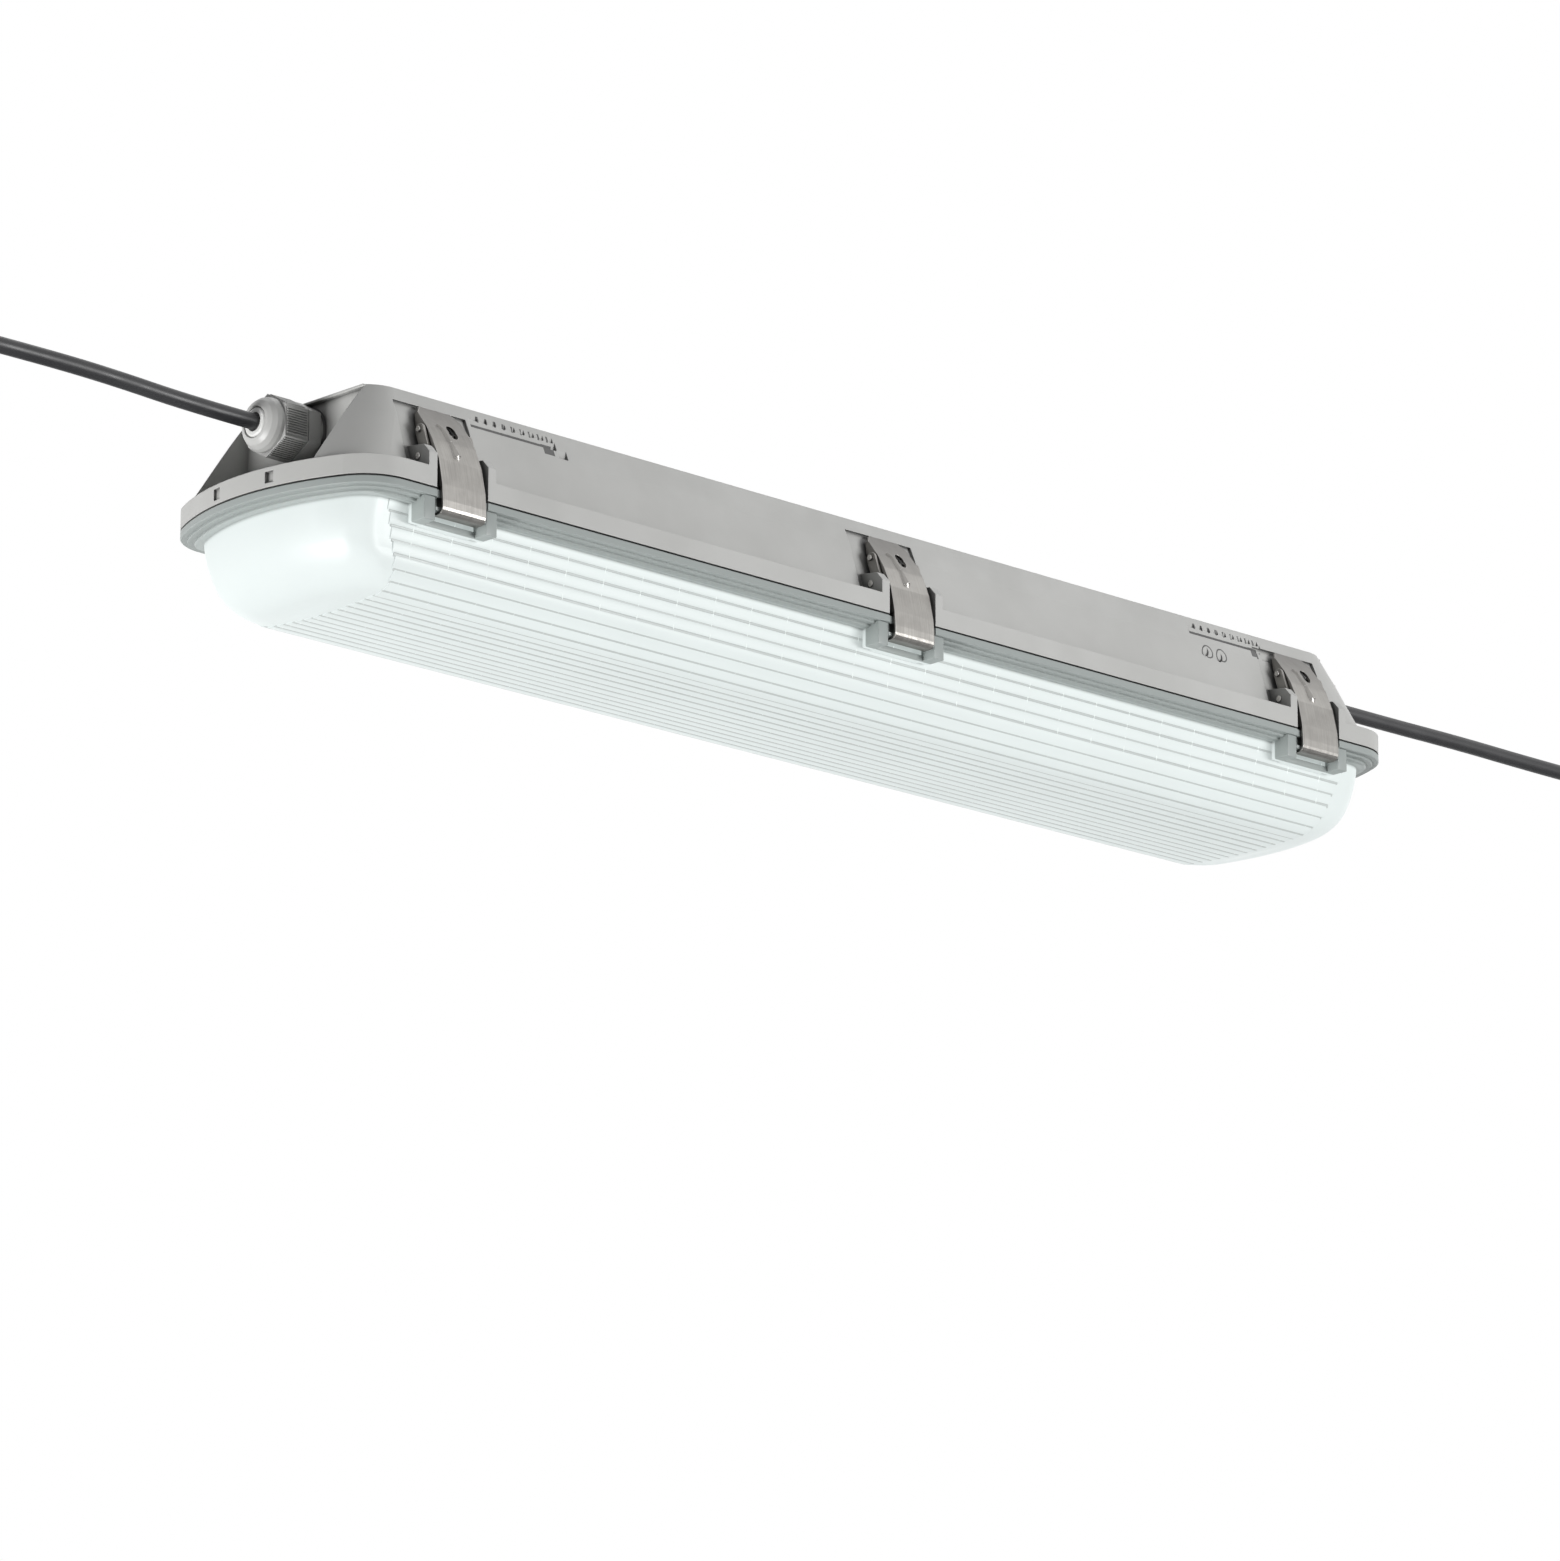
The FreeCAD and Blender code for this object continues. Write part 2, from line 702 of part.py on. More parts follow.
def make_gasket():
    low = -S.gasket_gap
    return cut(
        "gasket",
        prism("gasket_outer", rim_outline("gasket_edge", S.groove_inset + 0.1, low), low, groove_height()),
        prism(
            "gasket_inner",
            rim_outline("gasket_core", S.groove_inset + S.gasket_width - 0.1, low - 1),
            low - 1,
            groove_height() + 1,
        ),
    )


def lens_section(name, depth, inset):
    """Lens outline at a depth under the parting plane, drawn in by a wall."""
    d, t = float(depth), float(inset)
    side, edge, taper = float(S.lens_side), float(S.lens_edge), float(S.lens_taper)
    half = float(rim_out) - float(S.lens_inset)
    edge_middle = half - taper - edge
    if d <= side:
        half_width = half - taper * d / side - t
    else:
        half_width = edge_middle + math.sqrt(max((edge - t) ** 2 - (d - side) ** 2, 0.0))
    start, draw = float(S.lens_end_start), float(S.lens_end_inset)
    straight = float(S.rim_length) / 2 - float(S.lens_inset) - draw
    drop = side + edge - start
    share = max(d - start, 0.0) / (drop - t)
    half_length = straight + (draw - t) * math.sqrt(max(1 - share**2, 0.0)) * 0.94 + (draw - t) * 0.06
    corner = float(S.rim_corner) - float(S.lens_inset) - t
    return lamp_outline(name, half_length, half_width, corner, float(S.rim_bow) - float(S.lens_inset), -d)


def lens_loft(name, inset, top):
    """Tub of the lens, drawn in by a wall, from a depth down to its flat."""
    side, drop = float(S.lens_side), float(S.lens_edge) - float(inset)
    depths = [float(top), float(S.lens_end_start), side]
    depths += [side + drop * math.sin(math.radians(angle)) for angle in (18, 36, 54, 70, 82, 90)]
    wires = [lens_section(f"{name}_{i}", depth, inset) for i, depth in enumerate(depths)]
    return loft(name + "_tub", True, *wires)


def lens_swell():
    """Slight swell of the lens bottom, towards a narrow flat along its middle."""
    floor = float(S.lens_side) + float(S.lens_edge)
    half = float(rim_out) - float(S.lens_inset) - float(S.lens_taper) - float(S.lens_edge)
    length = float(S.rim_length) / 2 - float(S.lens_inset) - float(S.lens_end_inset)
    flat = half - 6
    middle = lamp_outline(
        "swell_middle", length - flat, half - flat, 4.0, float(S.rim_bow), -floor - float(S.lens_crown)
    )
    return loft("lens_swell", True, lens_section("swell_edge", floor, 0), middle)


def make_lens():
    flange_low = S.gasket_gap + S.flange_thick
    flange = prism("lens_flange", rim_outline("flange_edge", 0, -flange_low), -flange_low, -S.gasket_gap)
    steps = []
    for i in (1, 2):
        low = -(flange_low + S.flange_step * i)
        steps.append(prism(f"flange_step_{i}", rim_outline(f"step_edge_{i}", S.flange_step_in * i, low), low,
                           -flange_low))
    outer = lens_loft("lens_outer", 0, S.gasket_gap + 1)
    inner = lens_loft("lens_inner", S.lens_wall, S.gasket_gap - 0.5)
    return cut(
        "lens",
        fuse("lens_full", flange, *steps, outer, lens_swell(), *at_latches("catch", make_catch())),
        inner,
        *at_latches("flange_notch", make_flange_notch()),
    )


def make_catch():
    """Moulded catch under the flange that one hook grips."""
    low = -S.catch_drop
    flange_low = -(S.gasket_gap + S.flange_thick)
    front = -rim_out + S.catch_inset
    back = -rim_out + S.lens_inset + S.lens_wall
    half = rib_inner
    left, right = -half - S.catch_legs, half + S.catch_legs
    ledge = box("catch_ledge", (-half, half), (front, back), (low + S.catch_bead_height, flange_low + 1))
    bead = box("catch_bead", (-half, half), (front, front + S.catch_bead), (low, flange_low))
    legs = [
        box("catch_leg_left", (left, -half), (front, back), (-S.catch_leg_drop, flange_low + 1)),
        box("catch_leg_right", (half, right), (front, back), (-S.catch_leg_drop, flange_low + 1)),
    ]
    strip = box(
        "catch_strip",
        (-half, half),
        (-rim_out + S.lens_inset - 1.4, back + 2),
        (-S.catch_leg_drop, -S.catch_leg_drop + 2.6),
    )
    return fuse("catch", ledge, bead, *legs, strip)


def make_flange_notch():
    """Shallow notch that lets the lever pass the lens flange."""
    depth = S.lever_plate - S.lever_proud_top + S.latch_play
    return box(
        "flange_notch",
        (-rib_inner, rib_inner),
        (-rim_out - BEYOND, -rim_out + depth),
        (-(S.gasket_gap + S.flange_thick), -S.gasket_gap + 1),
    )


# ---------------------------------------------------------------- latches


def lever_face():
    """Front of the lever from its top edge down to the hook's roll: (out, height) corners."""
    return [
        (-S.lever_top_inset, S.lever_top_height),
        (-S.lever_knee_inset, S.lever_knee_height),
        (-S.lever_waist_inset, S.lever_waist_height),
        (-S.lever_kink_inset, S.lever_kink_height),
        (S.lever_proud_top, S.lever_shin_height),
        (S.lever_proud, -S.lever_foot_height),
    ]


def hook_low():
    return S.catch_drop + S.latch_play + S.lever_plate


def sheet_strip(front, thick):
    """Closed outline of a bent sheet: its front corners and the same line one thickness behind."""
    count = len(front)
    normals = []
    for (o1, z1), (o2, z2) in zip(front, front[1:]):
        run = math.hypot(float(o2) - float(o1), float(z2) - float(z1))
        normals.append(((float(z2) - float(z1)) / run, -(float(o2) - float(o1)) / run))
    back = []
    for i, (o, z) in enumerate(front):
        near = normals[max(i - 1, 0)], normals[min(i, count - 2)]
        lean = 1 + near[0][0] * near[1][0] + near[0][1] * near[1][1]
        back.append(
            (
                o + thick * ((near[0][0] + near[1][0]) / lean),
                z + thick * ((near[0][1] + near[1][1]) / lean),
            )
        )
    return front + back[::-1]


def make_lever():
    half = S.lever_width / 2
    roll_out = S.lever_proud - S.hook_roll
    roll_high = S.hook_roll - hook_low()
    face = lever_face() + [(S.lever_proud, roll_high)]
    for angle in (22.5, 45.0, 67.5, 90.0):
        turn = math.radians(angle)
        face.append((roll_out + S.hook_roll * math.cos(turn), roll_high - S.hook_roll * math.sin(turn)))
    face.append((S.lever_proud - S.hook_reach, -hook_low()))
    plate = profile_along_x("lever_sheet", sheet_strip(face, S.lever_plate), (-half, half))
    cheek = (
        (-S.lever_top_inset + 0.5, S.lever_top_height - S.lever_plate - 0.5),
        (-S.lever_knee_inset - 1, S.lever_knee_height),
        (-S.lever_waist_inset - 1, S.lever_waist_height),
        (-S.lever_kink_inset - 1, S.lever_kink_height),
        (S.lever_proud_top - 1, S.lever_shin_height),
        (S.lever_proud_top - 1, 1),
        (-S.flange_depth_low + 1, 1),
        (-S.flange_depth_low, S.rim_height + 0.8),
        (-S.lever_waist_inset - 0.4, S.lever_waist_height - 3.9),
        (-S.lever_waist_inset - 5.5, S.lever_waist_height + 0.5),
        (-S.lever_top_inset + 1.5, S.lever_knee_height + 1.5),
    )
    flanges = [
        profile_along_x("lever_flange_left", cheek, (-half, -half + S.lever_plate)),
        profile_along_x("lever_flange_right", cheek, (half - S.lever_plate, half)),
    ]
    y, z = S.lever_pin_inset - rim_out, S.lever_pin_height
    ears = [
        rod("lever_ear_left", S.ear_radius, S.lever_plate, "x", -half, y, z),
        rod("lever_ear_right", S.ear_radius, S.lever_plate, "x", half - S.lever_plate, y, z),
    ]
    pin_hole = rod("lever_pin_hole", S.lever_pin_radius + S.pin_play, S.lever_width + 4, "x", -half - 2, y, z)
    corner_cuts = []
    for sign in (-1, 1):
        owner = body("lever_corner_left" if sign < 0 else "lever_corner_right")
        edge = half + 1
        corners = (
            (sign * edge, S.lever_top_height - 5),
            (sign * edge, S.lever_top_height + 3),
            (sign * (half - 6), S.lever_top_height + 3),
        )
        pad(owner, outline(owner, owner.Name + "_cut", "XZ_Plane", corners, 20), BEYOND)
        corner_cuts.append(owner)
    window = [
        rod(f"lever_window_{i}", 2.4, 16, "y", 2.5, -rim_out - 2, z + 0.4 + 2.0 * i)
        for i in (0, 1)
    ]
    shell = fuse("lever_shell", plate, *flanges, *ears)
    return fuse("lever_master", cut("lever_cut", shell, pin_hole, *corner_cuts, *window), *lever_tear())


def lever_tear():
    """Pressed rib that runs down the lever's face and ends in a drop."""
    knee = (-S.lever_knee_inset, S.lever_knee_height)
    waist = (-S.lever_waist_inset, S.lever_waist_height)
    kink = (-S.lever_kink_inset, S.lever_kink_height)
    top = (knee[0] * 0.8 - S.lever_top_inset * 0.2, knee[1] * 0.8 + S.lever_top_height * 0.2)
    low = (waist[0] * 0.3 + kink[0] * 0.7, waist[1] * 0.3 + kink[1] * 0.7)
    tip = (waist[0] * 0.08 + kink[0] * 0.92, waist[1] * 0.08 + kink[1] * 0.92)
    return [
        ridge("tear_upper", (-4.6, *top), (-2.8, *knee), 1.0, 1.1),
        ridge("tear_middle", (-2.8, *knee), (-1.6, *waist), 1.1, 1.3),
        ridge("tear_lower", (-1.6, *waist), (-0.6, *low), 1.3, 2.0),
        ridge("tear_end", (-0.6, *low), (-0.3, *tip), 2.0, 0.7),
    ]


def ridge(name, start, end, radius_1, radius_2):
    """Round ridge half sunk in the lever's face between two points (x, out, height)."""
    item = doc.addObject("Part::Feature", name)
    ends = [V(float(x), -(float(rim_out) + float(out)), float(height)) for x, out, height in (start, end)]
    line = ends[1] - ends[0]
    sunk = 0.45 * radius_1
    ends[0].y += sunk
    item.Shape = Part.makeCone(radius_1, radius_2, line.Length, ends[0], line)
    return item


def make_link():
    """Yoke: two cheeks that carry both pins, joined by a web towards the tray."""
    half = S.lever_width / 2 + S.side_play
    pivot = (-S.pivot_inset, S.pivot_height)
    pin = (-S.lever_pin_inset, S.lever_pin_height)
    run = math.hypot(float(pin[0]) - float(pivot[0]), float(pin[1]) - float(pivot[1]))
    along = ((pin[0] - pivot[0]) / run, (pin[1] - pivot[1]) / run)
    inward = (-along[1], along[0])

    def spot(distance, offset):
        return (
            pivot[0] + along[0] * distance + inward[0] * offset,
            pivot[1] + along[1] * distance + inward[1] * offset,
        )

    reach = S.ear_radius
    straight = (spot(0, -reach), spot(run, -reach), spot(run, reach), spot(0, reach))
    pieces = []
    for side, start in (("left", -half - S.lever_plate), ("right", half)):
        pieces.append(profile_along_x(f"link_cheek_{side}", straight, (start, start + S.lever_plate)))
        for label, (out, height) in (("low", pivot), ("high", pin)):
            pieces.append(
                rod(f"link_{label}_{side}", reach, S.lever_plate, "x", start, -rim_out - out, height)
            )
    web_low = S.pivot_radius + 0.1
    web = (
        spot(2.5, web_low),
        spot(9.5, web_low),
        spot(9.5, web_low + S.lever_plate),
        spot(2.5, web_low + S.lever_plate),
    )
    pieces.append(profile_along_x("link_web", web, (-half - 0.4, half + 0.4)))
    holes = [
        rod("link_low_hole", S.pivot_radius + S.pin_play, 2 * half + 8, "x", -half - 4, -rim_out - pivot[0],
            pivot[1]),
        rod("link_high_hole", S.lever_pin_radius + S.pin_play, 2 * half + 8, "x", -half - 4,
            -rim_out - pin[0], pin[1]),
    ]
    return cut("link_master", fuse("link_solid", *pieces), *holes)


def make_lever_pin():
    """Pin through lever and link, upset a little past the link's cheeks."""
    reach = S.lever_width / 2 + 2 * S.side_play + S.lever_plate + S.pin_end
    y, z = S.lever_pin_inset - rim_out, S.lever_pin_height
    return rod("lever_pin_master", S.lever_pin_radius, 2 * reach, "x", -reach, y, z)


def make_pivot_pin():
    """Pin through the two guide ribs, which carry the link."""
    reach = rib_outer + S.pin_end
    y, z = S.pivot_inset - rim_out, S.pivot_height
    return rod("pivot_pin_master", S.pivot_radius, 2 * reach, "x", -reach, y, z)


# ---------------------------------------------------------------- glands, built outwards along +Z

body_start = S.washer_thick + S.gland_collar
nut_start = body_start + S.gland_hex + S.nut_gap
nut_end = nut_start + S.nut_hex
mouth = nut_end + S.nut_dome
seal_bore = S.cable_radius + S.cable_play
spigot_end = nut_end - 1.0


def make_gland_body():
    """Threaded stub, round collar, hexagon and spigot, bored for seal and cable."""
    stub = S.wall + S.locknut_height + 1.5
    tube = turned(
        "gland_tube",
        (
            (seal_bore + 0.4, -stub),
            (S.thread_radius, -stub),
            (S.thread_radius, S.washer_thick),
            (S.gland_flats / 2, S.washer_thick),
            (S.gland_flats / 2, body_start),
            (S.spigot_radius, body_start),
            (S.spigot_radius, spigot_end),
            (seal_bore + 3.0, spigot_end),
            (seal_bore + 3.0, body_start),
            (seal_bore + 0.4, body_start - 1.5),
        ),
    )
    bore = rod("gland_hex_bore", S.spigot_radius - 0.5, S.gland_hex + 2, "z", 0, 0, body_start - 1)
    ring = cut("gland_hex_ring", hexagon("gland_hexagon", S.gland_flats, S.gland_hex, body_start), bore)
    return fuse("gland_body_master", tube, ring)


def make_gland_nut():
    """Dome nut: hexagon, then a rounded dome with the cable mouth."""
    outer = S.gland_flats / 2
    inner = S.spigot_radius + S.nut_wall_play
    top = mouth
    dome = turned(
        "nut_dome_tube",
        (
            (inner, nut_start),
            (outer - 0.2, nut_start),
            (outer - 0.2, nut_end + 1.5),
            (outer - 0.8, nut_end + 3.4),
            (outer - 2.2, nut_end + 5.4),
            (outer - 3.9, top - 0.4),
            (S.mouth_radius + 0.4, top),
            (S.mouth_radius, top - 0.4),
            (S.mouth_radius, nut_end + 2.0),
            (inner, nut_end - 0.4),
        ),
    )
    bore = rod("nut_hex_bore", outer - 0.6, S.nut_hex + 2, "z", 0, 0, nut_start - 1)
    ring = cut("nut_hex_ring", hexagon("nut_hexagon", S.gland_flats, S.nut_hex, nut_start), bore)
    return fuse("gland_nut_master", dome, ring)


def make_gland_seal():
    """Rubber sleeve that grips the cable inside the gland body."""
    return turned(
        "gland_seal_master",
        (
            (seal_bore, body_start + 0.4),
            (seal_bore + 2.9, body_start + 0.4),
            (seal_bore + 2.9, spigot_end - 0.2),
            (seal_bore, spigot_end - 0.2),
        ),
    )


def make_gland_claw():
    """White clamping ring round the cable in the nut's mouth."""
    return turned(
        "gland_claw_master",
        (
            (seal_bore, spigot_end + 0.1),
            (S.mouth_radius - 0.1, spigot_end + 0.1),
            (S.mouth_radius - 0.1, mouth - 0.6),
            (S.mouth_radius - 0.9, mouth + 0.2),
            (seal_bore + 0.5, mouth + 0.2),
            (seal_bore, mouth - 0.6),
        ),
    )


def make_gland_washer():
    return turned(
        "gland_washer_master",
        (
            (S.thread_radius + 0.1, 0),
            (S.gland_flats / 2 + 0.4, 0),
            (S.gland_flats / 2 + 0.4, S.washer_thick),
            (S.thread_radius + 0.1, S.washer_thick),
        ),
    )


def make_gland_locknut():
    bore = rod("locknut_bore", S.thread_radius + 0.05, S.locknut_height + 2, "z", 0, 0,
               -S.wall - S.locknut_height - 1)
    bar = hexagon("locknut_hexagon", S.locknut_flats, S.locknut_height, -S.wall - S.locknut_height)
    bar.Placement.Rotation = FreeCAD.Rotation(AXES["z"], 30)
    return cut("gland_locknut_master", bar, bore)


# ---------------------------------------------------------------- cables and connectors

CABLE_ROUTES = {
    # points in the part's own frame of the light: x, y, height over the parting plane
    "left": ((0, 0, 0), (-34, 0, 0), (-78, 0, 2.2), (-116, 0, 2.6), (-148, 0, 2.2)),
    "right": ((0, 0, 0), (42, 0, 0), (94, 0, 0.7), (150, 0, 0.2), (204, 0, 0.6)),
}


def tube_along(name, points, radius):
    """Round tube along straight runs joined by tangent arcs."""
    spots = [V(*point) for point in points]
    runs = [(b - a).Length for a, b in zip(spots, spots[1:])]
    edges = []
    radii = []
    last = spots[0]
    for i in range(1, len(spots) - 1):
        before = (spots[i - 1] - spots[i]).normalize()
        after = (spots[i + 1] - spots[i]).normalize()
        turn = math.pi - before.getAngle(after)
        trim = 0.45 * min(runs[i - 1], runs[i])
        radii.append(trim / math.tan(turn / 2))
        start, end = spots[i] + before * trim, spots[i] + after * trim
        inward = (before + after).normalize()
        centre = spots[i] + inward * (trim / math.tan(turn / 2) / math.cos(turn / 2))
        middle = centre - inward * radii[-1]
        edges.append(Part.makeLine(last, start))
        edges.append(Part.Arc(start, middle, end).toShape())
        last = end
    edges.append(Part.makeLine(last, spots[-1]))
    path = Part.Wire(edges)
    circle = Part.Wire(Part.makeCircle(radius, spots[0], spots[1] - spots[0]))
    item = doc.addObject("Part::Feature", name)
    item.Shape = path.makePipeShell([circle], True, False)
    print(
        name,
        "length", round(path.Length, 2),
        "radii", [round(r, 1) for r in radii],
        "volume over section x length", round(item.Shape.Volume / (math.pi * radius**2 * path.Length), 5),
    )
    return item


def cable_start(side):
    sign = -1 if side == "left" else 1
    y = 0.0 if side == "left" else float(S.gland_right_y)
    return sign * float(end_wall + mouth + 0.2), y, float(S.gland_height)


def make_cable(side):
    x, y, z = cable_start(side)
    points = [(x + dx, y + dy, z + dz) for dx, dy, dz in CABLE_ROUTES[side]]
    return tube_along(f"{side}_cable", points, float(S.cable_radius))


def cable_end(side):
    """Far end of a cable and its direction there."""
    x, y, z = cable_start(side)
    first, last = (V(*CABLE_ROUTES[side][i]) for i in (-2, -1))
    return V(x, y, z) + last, (last - first).normalize()


def make_cable_inner(side):
    """The stretch of the same cable through the gland into the tray."""
    sign = -1 if side == "left" else 1
    stretch = mouth + 0.2 + S.wall + S.locknut_height + 14
    inside = sign * (end_wall + mouth + 0.2) - (stretch if sign > 0 else 0)
    y = S.gland_right_y if sign > 0 else 0
    return group(
        f"{side}_cable_inner",
        rod(f"{side}_cable_through_gland", S.cable_radius, stretch, "x", inside, y, S.gland_height),
    )


def make_connector_shell(name, with_pins):
    """In-line connector along +Z from the cable: tapered neck, body and contact face."""
    shell = turned(
        name + "_shell",
        (
            (0, 0),
            (S.plug_neck, 0),
            (S.plug_neck + 1.0, S.plug_taper * 0.5),
            (S.plug_radius, S.plug_taper),
            (S.plug_radius, S.plug_length),
            (S.plug_radius - 2, S.plug_length),
            (S.plug_radius - 2, S.plug_length - S.contact_length),
            (0, S.plug_length - S.contact_length),
        ),
    )
    contacts = []
    for i in range(3):
        turn = math.radians(120 * i + 90)
        contacts.append(
            rod(
                f"{name}_contact_{i}",
                S.contact_radius if with_pins else S.contact_radius + 0.1,
                S.contact_length * (0.8 if with_pins else 1.0),
                "z",
                S.contact_ring * math.cos(turn),
                S.contact_ring * math.sin(turn),
                S.plug_length - S.contact_length - (1.0 if with_pins else 0.0),
            )
        )
    if with_pins:
        return fuse(name + "_whole", shell, *contacts)
    core = rod(name + "_core", S.plug_radius - 2.4, S.contact_length, "z", 0, 0,
               S.plug_length - S.contact_length - 0.5)
    return fuse(name + "_whole", shell, cut(name + "_insert", core, *contacts))


def make_connector_collar():
    low, high = S.collar_start, S.collar_start + S.collar_length
    inner = S.plug_radius + S.cable_play
    return turned(
        "collar_master",
        (
            (inner, low),
            (S.collar_radius - 0.8, low),
            (S.collar_radius, low + 0.8),
            (S.collar_radius, high - 0.8),
            (S.collar_radius - 0.8, high),
            (inner, high),
        ),
    )


# ---------------------------------------------------------------- gear tray and what it carries


def make_gear_tray():
    """White folded steel sheet that reflects light and carries the parts."""
    low, high = S.gear_height, S.gear_height + S.gear_sheet
    half, fold = rim_out - S.gear_side, S.gear_fold
    reach = S.rim_length / 2 - S.gear_end
    lean = 2.5
    owner = body("gear_sheet_body")
    corners = (
        (-half, low),
        (half, low),
        (half + lean, low + fold),
        (half + lean - S.gear_sheet, low + fold),
        (half - S.gear_sheet, high),
        (-half + S.gear_sheet, high),
        (-half - lean + S.gear_sheet, low + fold),
        (-half - lean, low + fold),
    )
    pad(owner, outline(owner, "gear_section", "YZ_Plane", corners, -reach), 2 * reach)
    holes = [
        rod(f"gear_hole_{i}", S.screw_radius + S.screw_play, 4, "z", x, y, low - 1)
        for i, (x, y) in enumerate(tray_screw_places() + board_screw_places() + driver_screw_places())
    ]
    return cut("gear_tray", owner, *holes)


def tray_screw_places():
    return [(sx * S.boss_x, sy * S.boss_y) for sx, sy in ((1, 1), (-1, 1), (-1, -1), (1, -1))]


def board_middle(sign):
    return sign * (S.board_length + S.board_gap) / 2


def board_screw_places():
    reach = S.board_length / 2 - 6
    return [(board_middle(sign) + end * reach, 0) for sign in (-1, 1) for end in (-1, 1)]


def driver_screw_places():
    reach = S.driver_length / 2 + S.driver_lug / 2
    return [(S.driver_x + end * reach, S.driver_width / 2 - 2) for end in (-1, 1)]


def make_board(side, sign):
    x, half = board_middle(sign), S.board_length / 2
    z = (S.gear_height - S.board_thick, S.gear_height)
    plate = box(f"board_plate_{side}", (x - half, x + half), (-S.board_width / 2, S.board_width / 2), z)
    holes = [
        rod(f"board_hole_{side}_{end}", S.screw_radius + S.screw_play, 4, "z", x + end * (half - 6), 0,
            S.gear_height - S.board_thick - 1)
        for end in (-1, 1)
    ]
    return cut(f"led_board_{side}", plate, *holes)


def make_chips():
    chips = []
    half = S.chip_size / 2
    high = S.gear_height - S.board_thick
    count = int((float(S.board_length) - 30.0) / float(S.chip_pitch)) + 1
    for side, sign in (("left", -1), ("right", 1)):
        first = board_middle(sign) - S.chip_pitch * (count - 1) / 2
        for i in range(count):
            x = first + S.chip_pitch * i
            chips.append(
                box(f"chip_{side}_{i}", (x - half, x + half), (-half, half), (high - S.chip_height, high))
            )
    return group("led_chips", *chips)


def screw(name, x, y, seat, length):
    """Pan-head screw whose head lies under a seat and whose shank goes up."""
    return fuse(
        name,
        rod(name + "_shank", S.screw_radius, length, "z", x, y, seat),
        rod(name + "_head", S.screw_head, S.head_height, "z", x, y, seat - S.head_height),
    )


def make_screws():
    tray = [screw(f"tray_screw_{i}", x, y, S.gear_height, S.screw_length)
            for i, (x, y) in enumerate(tray_screw_places())]
    board = [screw(f"board_screw_{i}", x, y, S.gear_height - S.board_thick, S.board_thick + S.gear_sheet)
             for i, (x, y) in enumerate(board_screw_places())]
    driver = [screw(f"driver_screw_{i}", x, y, S.gear_height, S.gear_sheet + S.lug_thick + 1)
              for i, (x, y) in enumerate(driver_screw_places())]
    return group("tray_screws", *tray), group("board_screws", *board), group("driver_screws", *driver)


def make_driver():
    """Closed driver case with a fixing lug at each end."""
    low = S.gear_height + S.gear_sheet
    x, half, side = S.driver_x, S.driver_length / 2, S.driver_width / 2
    case = box("driver_case", (x - half, x + half), (-side, side), (low, low + S.driver_height))
    lugs = [
        box("driver_lug_left", (x - half - S.driver_lug, x - half + 1), (-side, side),
            (low, low + S.lug_thick)),
        box("driver_lug_right", (x + half - 1, x + half + S.driver_lug), (-side, side),
            (low, low + S.lug_thick)),
    ]
    holes = [
        rod(f"driver_hole_{i}", S.screw_radius + S.screw_play, 6, "z", hx, hy, low - 1)
        for i, (hx, hy) in enumerate(driver_screw_places())
    ]
    return cut("driver", fuse("driver_solid", case, *lugs), *holes)


POLES = 5


def make_terminal_block():
    """Five-pole block: a wire entry on each side and a screw well on top of each pole."""
    low = S.gear_height + S.gear_sheet
    half, side = S.block_length / 2, S.block_width / 2
    block = box("block_solid", (S.block_x - half, S.block_x + half), (-side, side), (low, low + S.block_height))
    pitch = S.block_width / POLES
    tools = []
    for i in range(POLES):
        y = pitch * (i + 0.5) - side
        tools.append(rod(f"wire_entry_{i}", S.screw_radius, S.block_length + 2, "x", S.block_x - half - 1, y,
                         low + 6))
        tools.append(rod(f"screw_well_{i}", S.screw_radius + 0.6, 8, "z", S.block_x, y,
                         low + S.block_height - 6))
    return cut("terminal_block", block, *tools)


def make_terminal_screws():
    low = S.gear_height + S.gear_sheet + S.block_height - 6
    pitch = S.block_width / POLES
    return group(
        "terminal_screws",
        *[
            rod(f"terminal_screw_{i}", S.screw_radius + 0.5, 3, "z", S.block_x,
                pitch * (i + 0.5) - S.block_width / 2, low)
            for i in range(POLES)
        ],
    )


# ---------------------------------------------------------------- finished pieces

NODES = {}


def finish(label, item):
    """Name a piece built in its place and lower it to the ceiling-face origin."""
    item.Label = label
    NODES[label] = bind(item, Placement__Base__z=-S.tray_height)


def finish_copy(label, source, x=0, y=0, z=0, turn=0, axis=AXES["z"]):
    """Place one more of a repeated piece."""
    item = copy_at(label, source, x, y, z - S.tray_height, turn, axis)
    item.Label = label
    NODES[label] = item


finish("housing", make_housing())
finish("gasket", make_gasket())
finish("lens", make_lens())
finish("gear_tray", make_gear_tray())
finish("led_board_left", make_board("left", -1))
finish("led_board_right", make_board("right", 1))
finish("led_chips", make_chips())
for screws in make_screws():
    finish(screws.Name, screws)
finish("driver", make_driver())
finish("terminal_block", make_terminal_block())
finish("terminal_screws", make_terminal_screws())

